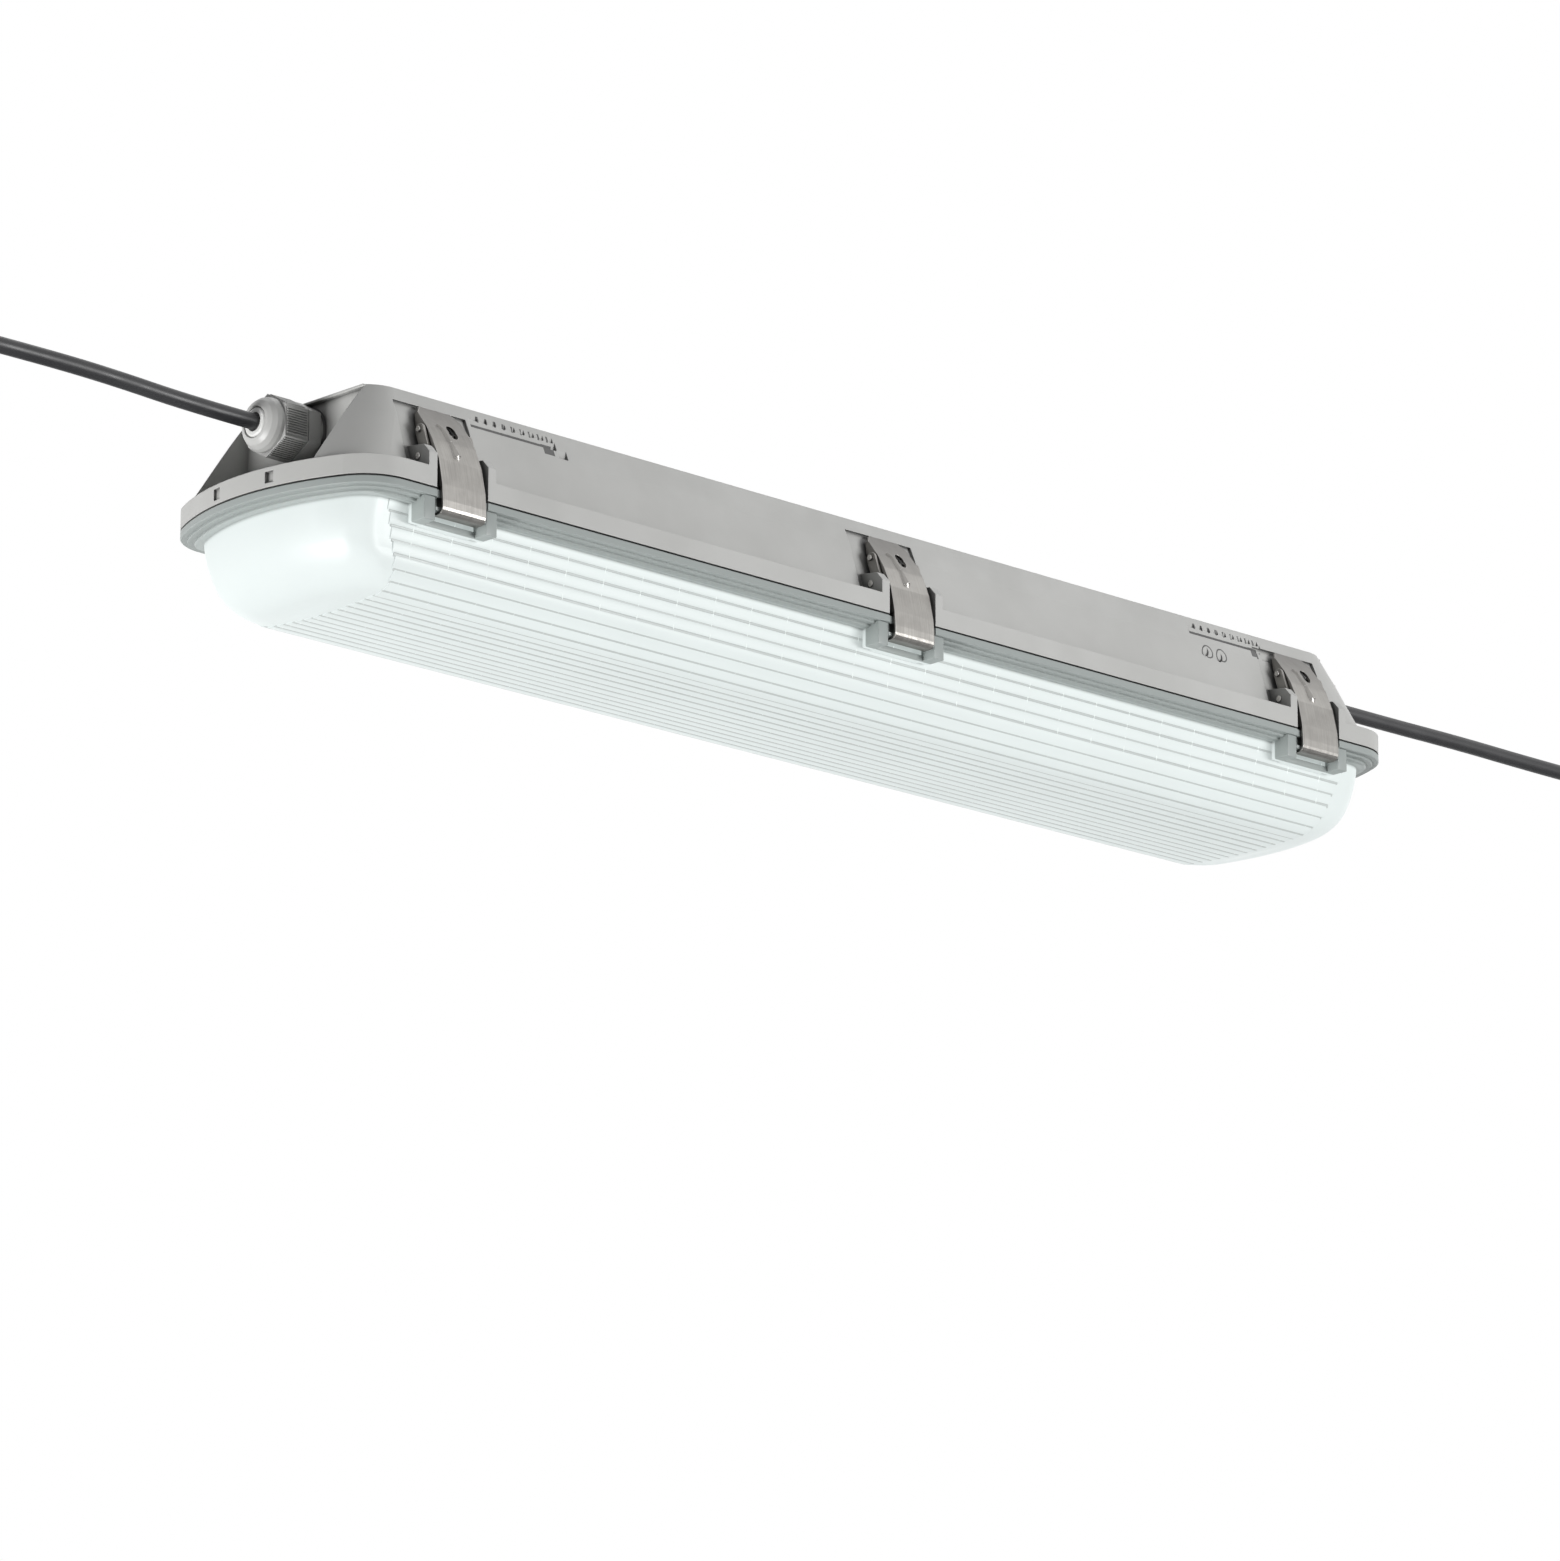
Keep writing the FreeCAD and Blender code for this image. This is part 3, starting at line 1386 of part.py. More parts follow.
lever, link, lever_pin, pivot_pin = make_lever(), make_link(), make_lever_pin(), make_pivot_pin()
for row_name, turn in (("front", 0), ("rear", 180)):
    for column, x in zip(("left", "middle", "right"), LATCH_X):
        place_name = f"{row_name}_{column}"
        finish_copy(f"latch_lever_{place_name}", lever, x, turn=turn)
        finish_copy(f"latch_link_{place_name}", link, x, turn=turn)
        finish_copy(f"latch_pin_{place_name}", lever_pin, x, turn=turn)
finish("pivot_pins", group("pivot_pins", *at_latches("pivot_pin", pivot_pin)))

GLAND_PIECES = {
    "gland_body": make_gland_body(),
    "gland_nut": make_gland_nut(),
    "gland_seal": make_gland_seal(),
    "gland_claw": make_gland_claw(),
    "gland_washer": make_gland_washer(),
    "gland_locknut": make_gland_locknut(),
}
for side, sign in (("left", -1), ("right", 1)):
    y = S.gland_right_y if sign > 0 else 0
    for label, source in GLAND_PIECES.items():
        finish_copy(f"{side}_{label}", source, sign * end_wall, y, S.gland_height, 90 * sign, AXES["y"])
    finish(f"{side}_cable", make_cable(side))
    finish(f"{side}_cable_inner", make_cable_inner(side))

collar = make_connector_collar()
CONNECTORS = {"left": make_connector_shell("plug", True), "right": make_connector_shell("socket", False)}
for side, shell in CONNECTORS.items():
    spot, direction = cable_end(side)
    tilt = FreeCAD.Rotation(AXES["z"], direction)
    for label, source in (("connector", shell), ("connector_collar", collar)):
        item = doc.addObject("Part::Compound", f"{side}_{label}")
        item.Links = [source]
        item.Placement = FreeCAD.Placement(spot - V(0, 0, float(S.tray_height)), tilt)
        item.Label = f"{side}_{label}"
        NODES[item.Label] = item

doc.recompute()
for item in doc.Objects:
    if "Invalid" in item.State or "Error" in item.State:
        raise RuntimeError(f"{item.Label} failed: {item.State}")
for label, item in NODES.items():
    if item.Shape.isNull() or not item.Shape.isValid() or not item.Shape.Solids:
        raise RuntimeError(f"{label} has no valid shape")

os.makedirs("parts", exist_ok=True)
for label, item in NODES.items():
    item.Shape.exportStep(f"parts/{label}.step")
print(len(NODES), "pieces written")
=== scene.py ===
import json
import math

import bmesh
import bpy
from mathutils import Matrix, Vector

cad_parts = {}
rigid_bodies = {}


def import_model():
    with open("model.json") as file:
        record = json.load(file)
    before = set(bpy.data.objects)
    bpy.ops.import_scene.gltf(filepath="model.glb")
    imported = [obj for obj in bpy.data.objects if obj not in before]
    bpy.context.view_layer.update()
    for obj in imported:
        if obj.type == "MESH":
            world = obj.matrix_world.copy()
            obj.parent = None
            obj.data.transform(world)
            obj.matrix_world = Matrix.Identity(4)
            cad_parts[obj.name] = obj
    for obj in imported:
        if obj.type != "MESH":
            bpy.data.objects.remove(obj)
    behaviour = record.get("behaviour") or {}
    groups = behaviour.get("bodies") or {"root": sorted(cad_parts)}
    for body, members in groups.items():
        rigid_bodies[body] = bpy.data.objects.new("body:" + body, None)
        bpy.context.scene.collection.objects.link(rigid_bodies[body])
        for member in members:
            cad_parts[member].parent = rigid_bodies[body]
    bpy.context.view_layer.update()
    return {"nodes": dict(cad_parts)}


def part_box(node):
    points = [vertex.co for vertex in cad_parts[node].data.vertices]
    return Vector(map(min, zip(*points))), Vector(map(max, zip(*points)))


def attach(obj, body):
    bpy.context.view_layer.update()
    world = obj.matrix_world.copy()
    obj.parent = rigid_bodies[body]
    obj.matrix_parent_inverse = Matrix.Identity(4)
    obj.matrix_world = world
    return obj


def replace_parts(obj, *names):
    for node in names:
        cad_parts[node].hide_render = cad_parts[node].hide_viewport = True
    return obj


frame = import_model()

# %% [markdown]
# # A weatherproof ceiling light
#
# The real object is a two-foot light for damp rooms: a grey moulded tray that screws to a ceiling, a
# frosted lens that closes it from below, six steel toggle latches that pull the lens against a foam
# seal, and a cable gland at each end. The frame brings every rigid piece in its true place. This
# lesson dresses it: it moulds the ribbed lens again with its fine flutes, draws the two cables as one
# curve each, gives every piece a finish and lights the scene like a plain product photograph.
#
# The frame's origin is the middle of the ceiling face, X runs along the light and Z points up, so
# everything hangs below zero. All lengths are metres, written as millimetres times `MM`.

MM = 0.001
nodes = frame["nodes"]
housing_low, housing_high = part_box("housing")
lens_low, lens_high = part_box("lens")
parting = housing_low.z

# %% [markdown]
# ## Small tools
#
# A closed mesh is the honest form of a moulded piece, because it has an inside and an outside. The
# helpers below turn lists of corners into such meshes, smooth the round parts and keep the real edges
# sharp by their angle.


# %% Mesh helpers
def linked(obj):
    bpy.context.scene.collection.objects.link(obj)
    return obj


def shaded(mesh, edge_angle):
    """Smooth shading, broken where two faces meet at more than the angle in degrees."""
    mesh.polygons.foreach_set("use_smooth", [True] * len(mesh.polygons))
    mesh.set_sharp_from_angle(angle=math.radians(edge_angle))
    return mesh


def mesh_object(name, working_mesh, edge_angle):
    """An object at the origin from a bmesh, with its normals turned outwards."""
    bmesh.ops.recalc_face_normals(working_mesh, faces=working_mesh.faces)
    mesh = bpy.data.meshes.new(name)
    working_mesh.to_mesh(mesh)
    working_mesh.free()
    return linked(bpy.data.objects.new(name, shaded(mesh, edge_angle)))


def skin_of_loops(name, loops, edge_angle):
    """Closed skin over loops of equally many points, from the first loop to the last."""
    working = bmesh.new()
    rings = [[working.verts.new(point) for point in loop] for loop in loops]
    count = len(rings[0])
    for ring, following in zip(rings, rings[1:]):
        for i in range(count):
            after = (i + 1) % count
            working.faces.new((ring[i], ring[after], following[after], following[i]))
    working.faces.new(rings[0][::-1])
    working.faces.new(rings[-1])
    return mesh_object(name, working, edge_angle)


def soft_box(working, low, high, edge):
    """Adds a box with rounded edges to a bmesh."""
    made = bmesh.ops.create_cube(working, size=1.0)["verts"]
    for vert in made:
        for axis in range(3):
            vert.co[axis] = low[axis] if vert.co[axis] < 0 else high[axis]
    edges = list({e for vert in made for e in vert.link_edges})
    bmesh.ops.bevel(working, geom=edges, offset=edge, segments=3, profile=0.5, affect="EDGES")


def dressed(obj, material=None):
    """A piece of the fixed body with its finish."""
    if material is not None:
        obj.data.materials.clear()
        obj.data.materials.append(material)
    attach(obj, "root")
    return obj


# %% [markdown]
# ## Shader groups
#
# A finish looks real when its colour, its gloss and its surface all vary a little, each at its own
# size: clouds over centimetres, streaks over millimetres, grain far below one. The groups hold these
# effects once, together with a painted highlight on rounded edges and painted shade in recesses. Each
# gives colours, values or normals, and the material keeps its own shader.


# %% A short way to write nodes
class Graph:
    """Writes nodes into a tree: one call makes a node, sets it and wires its inputs."""

    def __init__(self, tree):
        self.tree = tree

    def node(self, kind, inputs=None, **settings):
        item = self.tree.nodes.new(kind)
        for name, value in settings.items():
            setattr(item, name, value)
        for key, value in (inputs or {}).items():
            if isinstance(value, bpy.types.NodeSocket):
                self.tree.links.new(value, item.inputs[key])
            else:
                item.inputs[key].default_value = value
        return item

    def math(self, operation, *values):
        inputs = dict(enumerate(values))
        return self.node("ShaderNodeMath", inputs, operation=operation).outputs[0]

    def noise(self, vector, scale, detail):
        inputs = {"Vector": vector, "Scale": scale, "Detail": detail}
        return self.node("ShaderNodeTexNoise", inputs).outputs[0]

    def ramp(self, value, start, end, low=0.0, high=1.0):
        inputs = {"Value": value, "From Min": start, "From Max": end, "To Min": low, "To Max": high}
        return self.node("ShaderNodeMapRange", inputs, interpolation_type="SMOOTHSTEP").outputs[0]

    def mix(self, share, first, second):
        inputs = {0: share, 6: first, 7: second}
        return self.node("ShaderNodeMix", inputs, data_type="RGBA").outputs[2]

    def object_point(self):
        return self.node("ShaderNodeTexCoord").outputs["Object"]


def shader_group(name, inputs, outputs):
    """An empty group with its sockets: returns its graph, its inputs and its output node."""
    tree = bpy.data.node_groups.new(name, "ShaderNodeTree")
    for label, (kind, value) in inputs.items():
        socket = tree.interface.new_socket(name=label, in_out="INPUT", socket_type="NodeSocket" + kind)
        socket.default_value = value
    for label, kind in outputs.items():
        tree.interface.new_socket(name=label, in_out="OUTPUT", socket_type="NodeSocket" + kind)
    graph = Graph(tree)
    return graph, graph.node("NodeGroupInput").outputs, graph.node("NodeGroupOutput").inputs


def tint(red, green, blue):
    return (red, green, blue, 1.0)


# %% Soft edges: where a real edge is rounded, it catches light; the edge mask also places a painted highlight
graph, given, result = shader_group(
    "Soft edge", {"Radius": ("Float", 0.5 * MM)}, {"Normal": "Vector", "Edge": "Float"}
)
rounded = graph.node("ShaderNodeBevel", {"Radius": given["Radius"]}, samples=6).outputs[0]
true_normal = graph.node("ShaderNodeNewGeometry").outputs["Normal"]
agreement = graph.node(
    "ShaderNodeVectorMath", {0: rounded, 1: true_normal}, operation="DOT_PRODUCT"
).outputs["Value"]
graph.tree.links.new(rounded, result["Normal"])
graph.tree.links.new(graph.ramp(agreement, 0.995, 0.8), result["Edge"])
SOFT_EDGE = graph.tree
print("group", SOFT_EDGE.name)

# %% Recesses: where neighbouring faces stand close, little light gets in, and the finishes paint shade there
graph, given, result = shader_group(
    "Recess", {"Reach": ("Float", 6.0 * MM), "Depth": ("Float", 0.8)}, {"Shade": "Float"}
)
openness = graph.node("ShaderNodeAmbientOcclusion", {"Distance": given["Reach"]}, samples=8).outputs["AO"]
hidden = graph.ramp(openness, 0.9, 0.2)
graph.tree.links.new(graph.math("MULTIPLY", hidden, given["Depth"]), result["Shade"])
RECESS = graph.tree
print("group", RECESS.name)

# %% Moulded skin: clouds in the colour, uneven gloss and a fine spark-eroded grain
graph, given, result = shader_group(
    "Moulded skin",
    {
        "Colour": ("Color", tint(0.6, 0.6, 0.58)),
        "Second colour": ("Color", tint(0.55, 0.55, 0.53)),
        "Roughness": ("Float", 0.4),
        "Grain": ("Float", 0.3),
        "Grain scale": ("Float", 1500.0),
        "Edge radius": ("Float", 0.5 * MM),
        "Recess reach": ("Float", 14.0 * MM),
    },
    {"Colour": "Color", "Roughness": "Float", "Normal": "Vector"},
)
point = graph.object_point()
edge = graph.node("ShaderNodeGroup", node_tree=SOFT_EDGE)
graph.tree.links.new(given["Edge radius"], edge.inputs["Radius"])
clouds = graph.ramp(graph.noise(point, 16.0, 4.0), 0.35, 0.65)
clouded = graph.mix(clouds, given["Colour"], given["Second colour"])
# Painted highlight: rounded edges are lightened towards near-white, as if they caught the light.
edge_highlight_share = graph.math("MULTIPLY", edge.outputs["Edge"], 0.22)
edge_highlighted = graph.mix(edge_highlight_share, clouded, tint(0.95, 0.95, 0.95))
# Painted shade: where neighbouring faces stand close, the colour darkens towards near-black.
recess = graph.node("ShaderNodeGroup", {"Reach": given["Recess reach"]}, node_tree=RECESS).outputs[0]
graph.tree.links.new(graph.mix(recess, edge_highlighted, tint(0.03, 0.03, 0.03)), result["Colour"])
uneven = graph.ramp(graph.noise(point, 70.0, 3.0), 0.3, 0.7, -0.06, 0.06)
graph.tree.links.new(graph.math("ADD", given["Roughness"], uneven), result["Roughness"])
grain = graph.noise(point, given["Grain scale"], 2.0)
bump = graph.node(
    "ShaderNodeBump",
    {
        "Strength": given["Grain"],
        "Distance": 0.05 * MM,
        "Height": grain,
        "Normal": edge.outputs["Normal"],
    },
)
graph.tree.links.new(bump.outputs[0], result["Normal"])
MOULDED = graph.tree
print("group", MOULDED.name)

# %% Brushed steel: streaks along the sheet, a little tarnish and the ripples of pressing
graph, given, result = shader_group(
    "Brushed steel",
    {
        "Colour": ("Color", tint(0.45, 0.43, 0.4)),
        "Streak colour": ("Color", tint(0.6, 0.58, 0.55)),
        "Roughness": ("Float", 0.3),
        "Ripples": ("Float", 0.3),
    },
    {"Colour": "Color", "Roughness": "Float", "Normal": "Vector"},
)
point = graph.object_point()
edge = graph.node("ShaderNodeGroup", {"Radius": 0.45 * MM}, node_tree=SOFT_EDGE)
stretched = graph.node("ShaderNodeMapping", {"Vector": point, "Scale": (2600.0, 45.0, 45.0)}).outputs[0]
streaks = graph.noise(stretched, 1.0, 3.0)
streaked = graph.mix(graph.ramp(streaks, 0.35, 0.7), given["Colour"], given["Streak colour"])
tarnish = graph.ramp(graph.noise(point, 150.0, 4.0), 0.35, 0.75, 0.0, 0.28)
dulled = graph.mix(tarnish, streaked, tint(0.2, 0.19, 0.18))
# Painted highlight: rounded edges are lightened towards pale steel, as if they caught the light.
edge_highlight = graph.math("MULTIPLY", edge.outputs["Edge"], 0.45)
edge_highlighted = graph.mix(edge_highlight, dulled, tint(0.78, 0.77, 0.75))
# Painted shade: where neighbouring faces stand close, the colour darkens towards near-black.
recess = graph.node("ShaderNodeGroup", {"Reach": 4.5 * MM, "Depth": 0.85}, node_tree=RECESS).outputs[0]
graph.tree.links.new(graph.mix(recess, edge_highlighted, tint(0.03, 0.03, 0.03)), result["Colour"])
uneven = graph.ramp(streaks, 0.3, 0.7, -0.03, 0.05)
graph.tree.links.new(graph.math("ADD", given["Roughness"], uneven), result["Roughness"])
ripples = graph.node(
    "ShaderNodeBump",
    {
        "Strength": given["Ripples"],
        "Distance": 0.4 * MM,
        "Height": graph.noise(point, 260.0, 2.0),
        "Normal": edge.outputs["Normal"],
    },
)
scratches = graph.node(
    "ShaderNodeBump",
    {"Strength": 0.12, "Distance": 0.02 * MM, "Height": streaks, "Normal": ripples.outputs[0]},
)
graph.tree.links.new(scratches.outputs[0], result["Normal"])
STEEL = graph.tree
print("group", STEEL.name)


# %% [markdown]
# ## Finishes
#
# Each finish is one shader fed by one group. The tray is glass-filled polycarbonate, so it is dull
# and slightly warm. The latches are stainless sheet, brushed along their length, with painted shade
# darkening them near the top, where the tray shades them. The glands are nylon, a touch glossier than the
# tray.


# %% Finish makers
def new_material(name):
    material = bpy.data.materials.new(name)
    material.use_nodes = True
    shader = material.node_tree.nodes["Principled BSDF"]
    return material, Graph(material.node_tree), shader


def moulded(
    name, colour, second, roughness, grain=0.3, grain_scale=1500.0, edge=0.5, recess=14.0, **constants
):
    """Plastic, rubber, foam or lacquer: the moulded skin with its own numbers."""
    material, graph, shader = new_material(name)
    skin = graph.node(
        "ShaderNodeGroup",
        {
            "Colour": tint(*colour),
            "Second colour": tint(*second),
            "Roughness": roughness,
            "Grain": grain,
            "Grain scale": grain_scale,
            "Edge radius": edge * MM,
            "Recess reach": recess * MM,
        },
        node_tree=MOULDED,
    )
    for ours, theirs in (("Colour", "Base Color"), ("Roughness", "Roughness"), ("Normal", "Normal")):
        material.node_tree.links.new(skin.outputs[ours], shader.inputs[theirs])
    for label, value in constants.items():
        shader.inputs[label.replace("_", " ")].default_value = value
    return material


def steel(name, colour, streak, roughness, ripples, shade=None):
    """Metal: the brushed group, with painted shade darkening it towards a height where a shade is given.
    """
    material, graph, shader = new_material(name)
    skin = graph.node(
        "ShaderNodeGroup",
        {
            "Colour": tint(*colour),
            "Streak colour": tint(*streak),
            "Roughness": roughness,
            "Ripples": ripples,
        },
        node_tree=STEEL,
    )
    surface = skin.outputs["Colour"]
    if shade is not None:
        # Painted shade: the colour darkens by height, between the levels that the shade gives.
        split = graph.node("ShaderNodeSeparateXYZ", {"Vector": graph.object_point()})
        height = graph.ramp(split.outputs["Z"], *shade)
        surface = graph.mix(height, surface, tint(0.13, 0.125, 0.12))
    material.node_tree.links.new(surface, shader.inputs["Base Color"])
    material.node_tree.links.new(skin.outputs["Roughness"], shader.inputs["Roughness"])
    material.node_tree.links.new(skin.outputs["Normal"], shader.inputs["Normal"])
    shader.inputs["Metallic"].default_value = 1.0
    return material


# %% The finishes of the record's slots
lever_low, lever_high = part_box("latch_lever_front_left")
FINISHES = {
    "housing_grey": moulded("housing_grey", (0.5, 0.5, 0.485), (0.46, 0.46, 0.445), 0.4, 0.35),
    "seal_foam": moulded("seal_foam", (0.05, 0.05, 0.055), (0.08, 0.08, 0.08), 0.85, 0.8, 900.0),
    "latch_steel": steel(
        "latch_steel",
        (0.3, 0.29, 0.275),
        (0.36, 0.35, 0.33),
        0.36,
        0.3,
        # painted shade darkening the levers towards their top, where the tray shades them
        shade=(lever_low.z + 22 * MM, lever_high.z + 8 * MM, 0.0, 0.75),
    ),
    "pin_steel": steel("pin_steel", (0.5, 0.49, 0.47), (0.65, 0.64, 0.62), 0.26, 0.1),
    "screw_steel": steel("screw_steel", (0.55, 0.54, 0.5), (0.7, 0.69, 0.66), 0.24, 0.1),
    "gland_grey": moulded("gland_grey", (0.52, 0.52, 0.505), (0.47, 0.47, 0.46), 0.36, 0.2, 2200.0),
    "gland_white": moulded("gland_white", (0.83, 0.83, 0.81), (0.76, 0.76, 0.74), 0.38, 0.2, 2200.0),
    "seal_rubber": moulded("seal_rubber", (0.045, 0.045, 0.045), (0.07, 0.07, 0.07), 0.7, 0.5, 900.0),
    "cable_black": moulded("cable_black", (0.013, 0.013, 0.015), (0.024, 0.024, 0.026), 0.42, 0.5, 700.0),
    "connector_black": moulded("connector_black", (0.02, 0.02, 0.022), (0.035, 0.035, 0.036), 0.4, 0.4),
    "tray_white": moulded("tray_white", (0.86, 0.86, 0.84), (0.8, 0.8, 0.79), 0.32, 0.15, 600.0),
    "board_white": moulded("board_white", (0.88, 0.88, 0.86), (0.82, 0.83, 0.81), 0.3, 0.1),
    "led_yellow": moulded("led_yellow", (0.86, 0.66, 0.14), (0.78, 0.58, 0.1), 0.3, 0.1),
    "driver_white": moulded("driver_white", (0.8, 0.8, 0.78), (0.73, 0.73, 0.71), 0.42, 0.3),
    "terminal_white": moulded("terminal_white", (0.82, 0.82, 0.8), (0.74, 0.74, 0.72), 0.4, 0.25),
}
print(len(FINISHES), "finishes besides the lens")

# %% [markdown]
# ## Shade in narrow places
#
# A slot of a millimetre or two looks nearly black, because hardly any light leaves it again. So the
# housing's finish also paints shade by place: in the slot and the pocket of each clip seat, between the
# teeth of its comb, and in the rings of the two knock-out marks on the front side.

# %% Painted shade in the clip seats and round the two knock-out marks
SEATS = (-219.0, 223.0)
SLOT_REACH = (-24.5, 16.5)
SLOT_LEVELS = (-8.8, -7.2)
POCKET_REACH = (16.5, 22.5)
POCKET_LEVELS = (-12.0, -7.0)
COMB_REACH = (-23.5, 21.5)
COMB_LEVELS = (-5.6, -2.8)
COMB_PITCH = 4.95
COMB_GAP_SHARE = 0.22
MARKS = (207.6, 216.9)
MARK_LEVEL = -16.6
MARK_RADIUS = 3.4
MARK_LINE = 0.7
SIDE_SKIN = 41.0
DEEPEST_SHADE = 0.88


def within(graph, value, low, high):
    """One where the value lies between two places in millimetres, else nought."""
    above = graph.math("GREATER_THAN", value, low * MM)
    below = graph.math("LESS_THAN", value, high * MM)
    return graph.math("MULTIPLY", above, below)


def block(graph, along, level, seat, reach, levels):
    """One inside a rectangle on the side of the housing, placed from the middle of a clip seat."""
    beside = within(graph, along, seat + reach[0], seat + reach[1])
    return graph.math("MULTIPLY", beside, within(graph, level, *levels))


grey = FINISHES["housing_grey"]
graph = Graph(grey.node_tree)
shader = grey.node_tree.nodes["Principled BSDF"]
split = graph.node("ShaderNodeSeparateXYZ", {"Vector": graph.object_point()})
along, across, level = split.outputs["X"], split.outputs["Y"], split.outputs["Z"]
outside = graph.math("GREATER_THAN", graph.math("ABSOLUTE", across), SIDE_SKIN * MM)
front = graph.math("LESS_THAN", across, -SIDE_SKIN * MM)
shade = 0.0
for seat in SEATS:
    slot = block(graph, along, level, seat, SLOT_REACH, SLOT_LEVELS)
    pocket = block(graph, along, level, seat, POCKET_REACH, POCKET_LEVELS)
    comb = block(graph, along, level, seat, COMB_REACH, COMB_LEVELS)
    from_seat = graph.math("SUBTRACT", along, seat * MM)
    tooth = graph.math("FRACT", graph.math("DIVIDE", from_seat, COMB_PITCH * MM))
    gap = graph.math("LESS_THAN", tooth, COMB_GAP_SHARE)
    for part in (slot, pocket, graph.math("MULTIPLY", gap, comb)):
        shade = graph.math("MAXIMUM", shade, graph.math("MULTIPLY", part, outside))
for mark in MARKS:
    aside = graph.math("POWER", graph.math("SUBTRACT", along, mark * MM), 2.0)
    apart = graph.math("POWER", graph.math("SUBTRACT", level, MARK_LEVEL * MM), 2.0)
    radius = graph.math("SQRT", graph.math("ADD", aside, apart))
    ring = within(graph, radius, MARK_RADIUS - MARK_LINE, MARK_RADIUS)
    shade = graph.math("MAXIMUM", shade, graph.math("MULTIPLY", ring, front))
plain_colour = shader.inputs["Base Color"].links[0].from_socket
# The painted shade darkens the housing's colour towards near-black.
depth = graph.math("MULTIPLY", shade, DEEPEST_SHADE)
shaded_colour = graph.mix(depth, plain_colour, tint(0.03, 0.03, 0.03))
grey.node_tree.links.new(shaded_colour, shader.inputs["Base Color"])
print("housing finish with", len(grey.node_tree.nodes), "nodes")

# %% [markdown]
# ## The lens finish
#
# The lens is one moulding of clear polycarbonate. Its tub is frosted, so it scatters the light of the
# LED boards and glows evenly; the finish paints that glow on as emission. Its flange and catches stay
# clear and look grey-green, because there the light runs along the sheet. One material covers both: the
# place in the frame decides which it is.

# %% Frosted tub and clear flange
lens_material, graph, shader = new_material("lens_frost")
point = graph.object_point()
split = graph.node("ShaderNodeSeparateXYZ", {"Vector": point})
above = graph.ramp(split.outputs["Z"], parting - 7.6 * MM, parting - 5.6 * MM)
across = graph.math("ABSOLUTE", split.outputs["Y"])
beside = graph.ramp(across, housing_high.y - 9.4 * MM, housing_high.y - 8.6 * MM)
clear = graph.math("MAXIMUM", above, beside)
clouds = graph.ramp(graph.noise(point, 11.0, 4.0), 0.3, 0.7)
frosted = graph.mix(clouds, tint(0.4, 0.43, 0.425), tint(0.38, 0.41, 0.405))
colour = graph.mix(clear, frosted, tint(0.33, 0.36, 0.35))
# Painted glow: the frosted tub emits light as if lit by the LED boards, a touch dimmer near its ends.
along = graph.math("ABSOLUTE", split.outputs["X"])
lit_length = graph.ramp(along, housing_high.x - 16 * MM, housing_high.x - 62 * MM, 0.97, 1.0)
lit_share = graph.math("MULTIPLY", lit_length, graph.math("SUBTRACT", 1.0, clear))
# Painted shade: recesses darken the lens colour and dim its painted glow.
recess = graph.node("ShaderNodeGroup", {"Reach": 4.0 * MM, "Depth": 0.2}, node_tree=RECESS).outputs[0]
colour = graph.mix(recess, colour, tint(0.05, 0.06, 0.06))
lit_share = graph.math("MULTIPLY", lit_share, graph.math("SUBTRACT", 1.0, recess))
painted_glow = graph.math("MULTIPLY", lit_share, graph.ramp(clouds, 0.0, 1.0, 0.4, 0.43))
edge = graph.node("ShaderNodeGroup", {"Radius": 0.35 * MM}, node_tree=SOFT_EDGE)
frost = graph.node(
    "ShaderNodeBump",
    {
        "Strength": 0.3,
        "Distance": 0.04 * MM,
        "Height": graph.noise(point, 1300.0, 2.0),
        "Normal": edge.outputs["Normal"],
    },
)
gloss = graph.ramp(graph.noise(point, 45.0, 3.0), 0.3, 0.7, 0.36, 0.42)
wires = lens_material.node_tree.links
wires.new(colour, shader.inputs["Base Color"])
wires.new(gloss, shader.inputs["Roughness"])
wires.new(frost.outputs[0], shader.inputs["Normal"])
wires.new(painted_glow, shader.inputs["Emission Strength"])
shader.inputs["Emission Color"].default_value = tint(0.93, 1.0, 0.985)
shader.inputs["Coat Weight"].default_value = 0.06
shader.inputs["Specular IOR Level"].default_value = 0.3
shader.inputs["Coat Roughness"].default_value = 0.12
print("lens finish with", len(lens_material.node_tree.nodes), "nodes")

# %% Darker lines: painted shade in the valleys between flutes, and the cross lines, both with a weaker painted glow
darker_lens_lines = {
    name: moulded(
        name,
        (shade, shade * 1.06, shade * 1.04),
        (shade * 0.9, shade * 0.96, shade * 0.94),
        0.35,
        0.1,
        recess=0.3,
        Emission_Color=tint(0.92, 1.0, 0.975),
        Emission_Strength=strength,
    )
    for name, shade, strength in (("flute_valley", 0.3, 0.25), ("cross_line", 0.42, 0.5))
}
print("thin frost:", sorted(darker_lens_lines))

# %% [markdown]
# ## The lens body
#
# In the mould, the lens is a tub with a stepped flange. Every level of it is the same outline: two
# straight sides, four round corners and two bowed ends. So the body is a stack of such loops, from the
# inner floor up the inner wall, out over the flange, down its steps and down the outer wall to the
# slightly swollen floor. The flange has a shallow notch where each latch passes it.

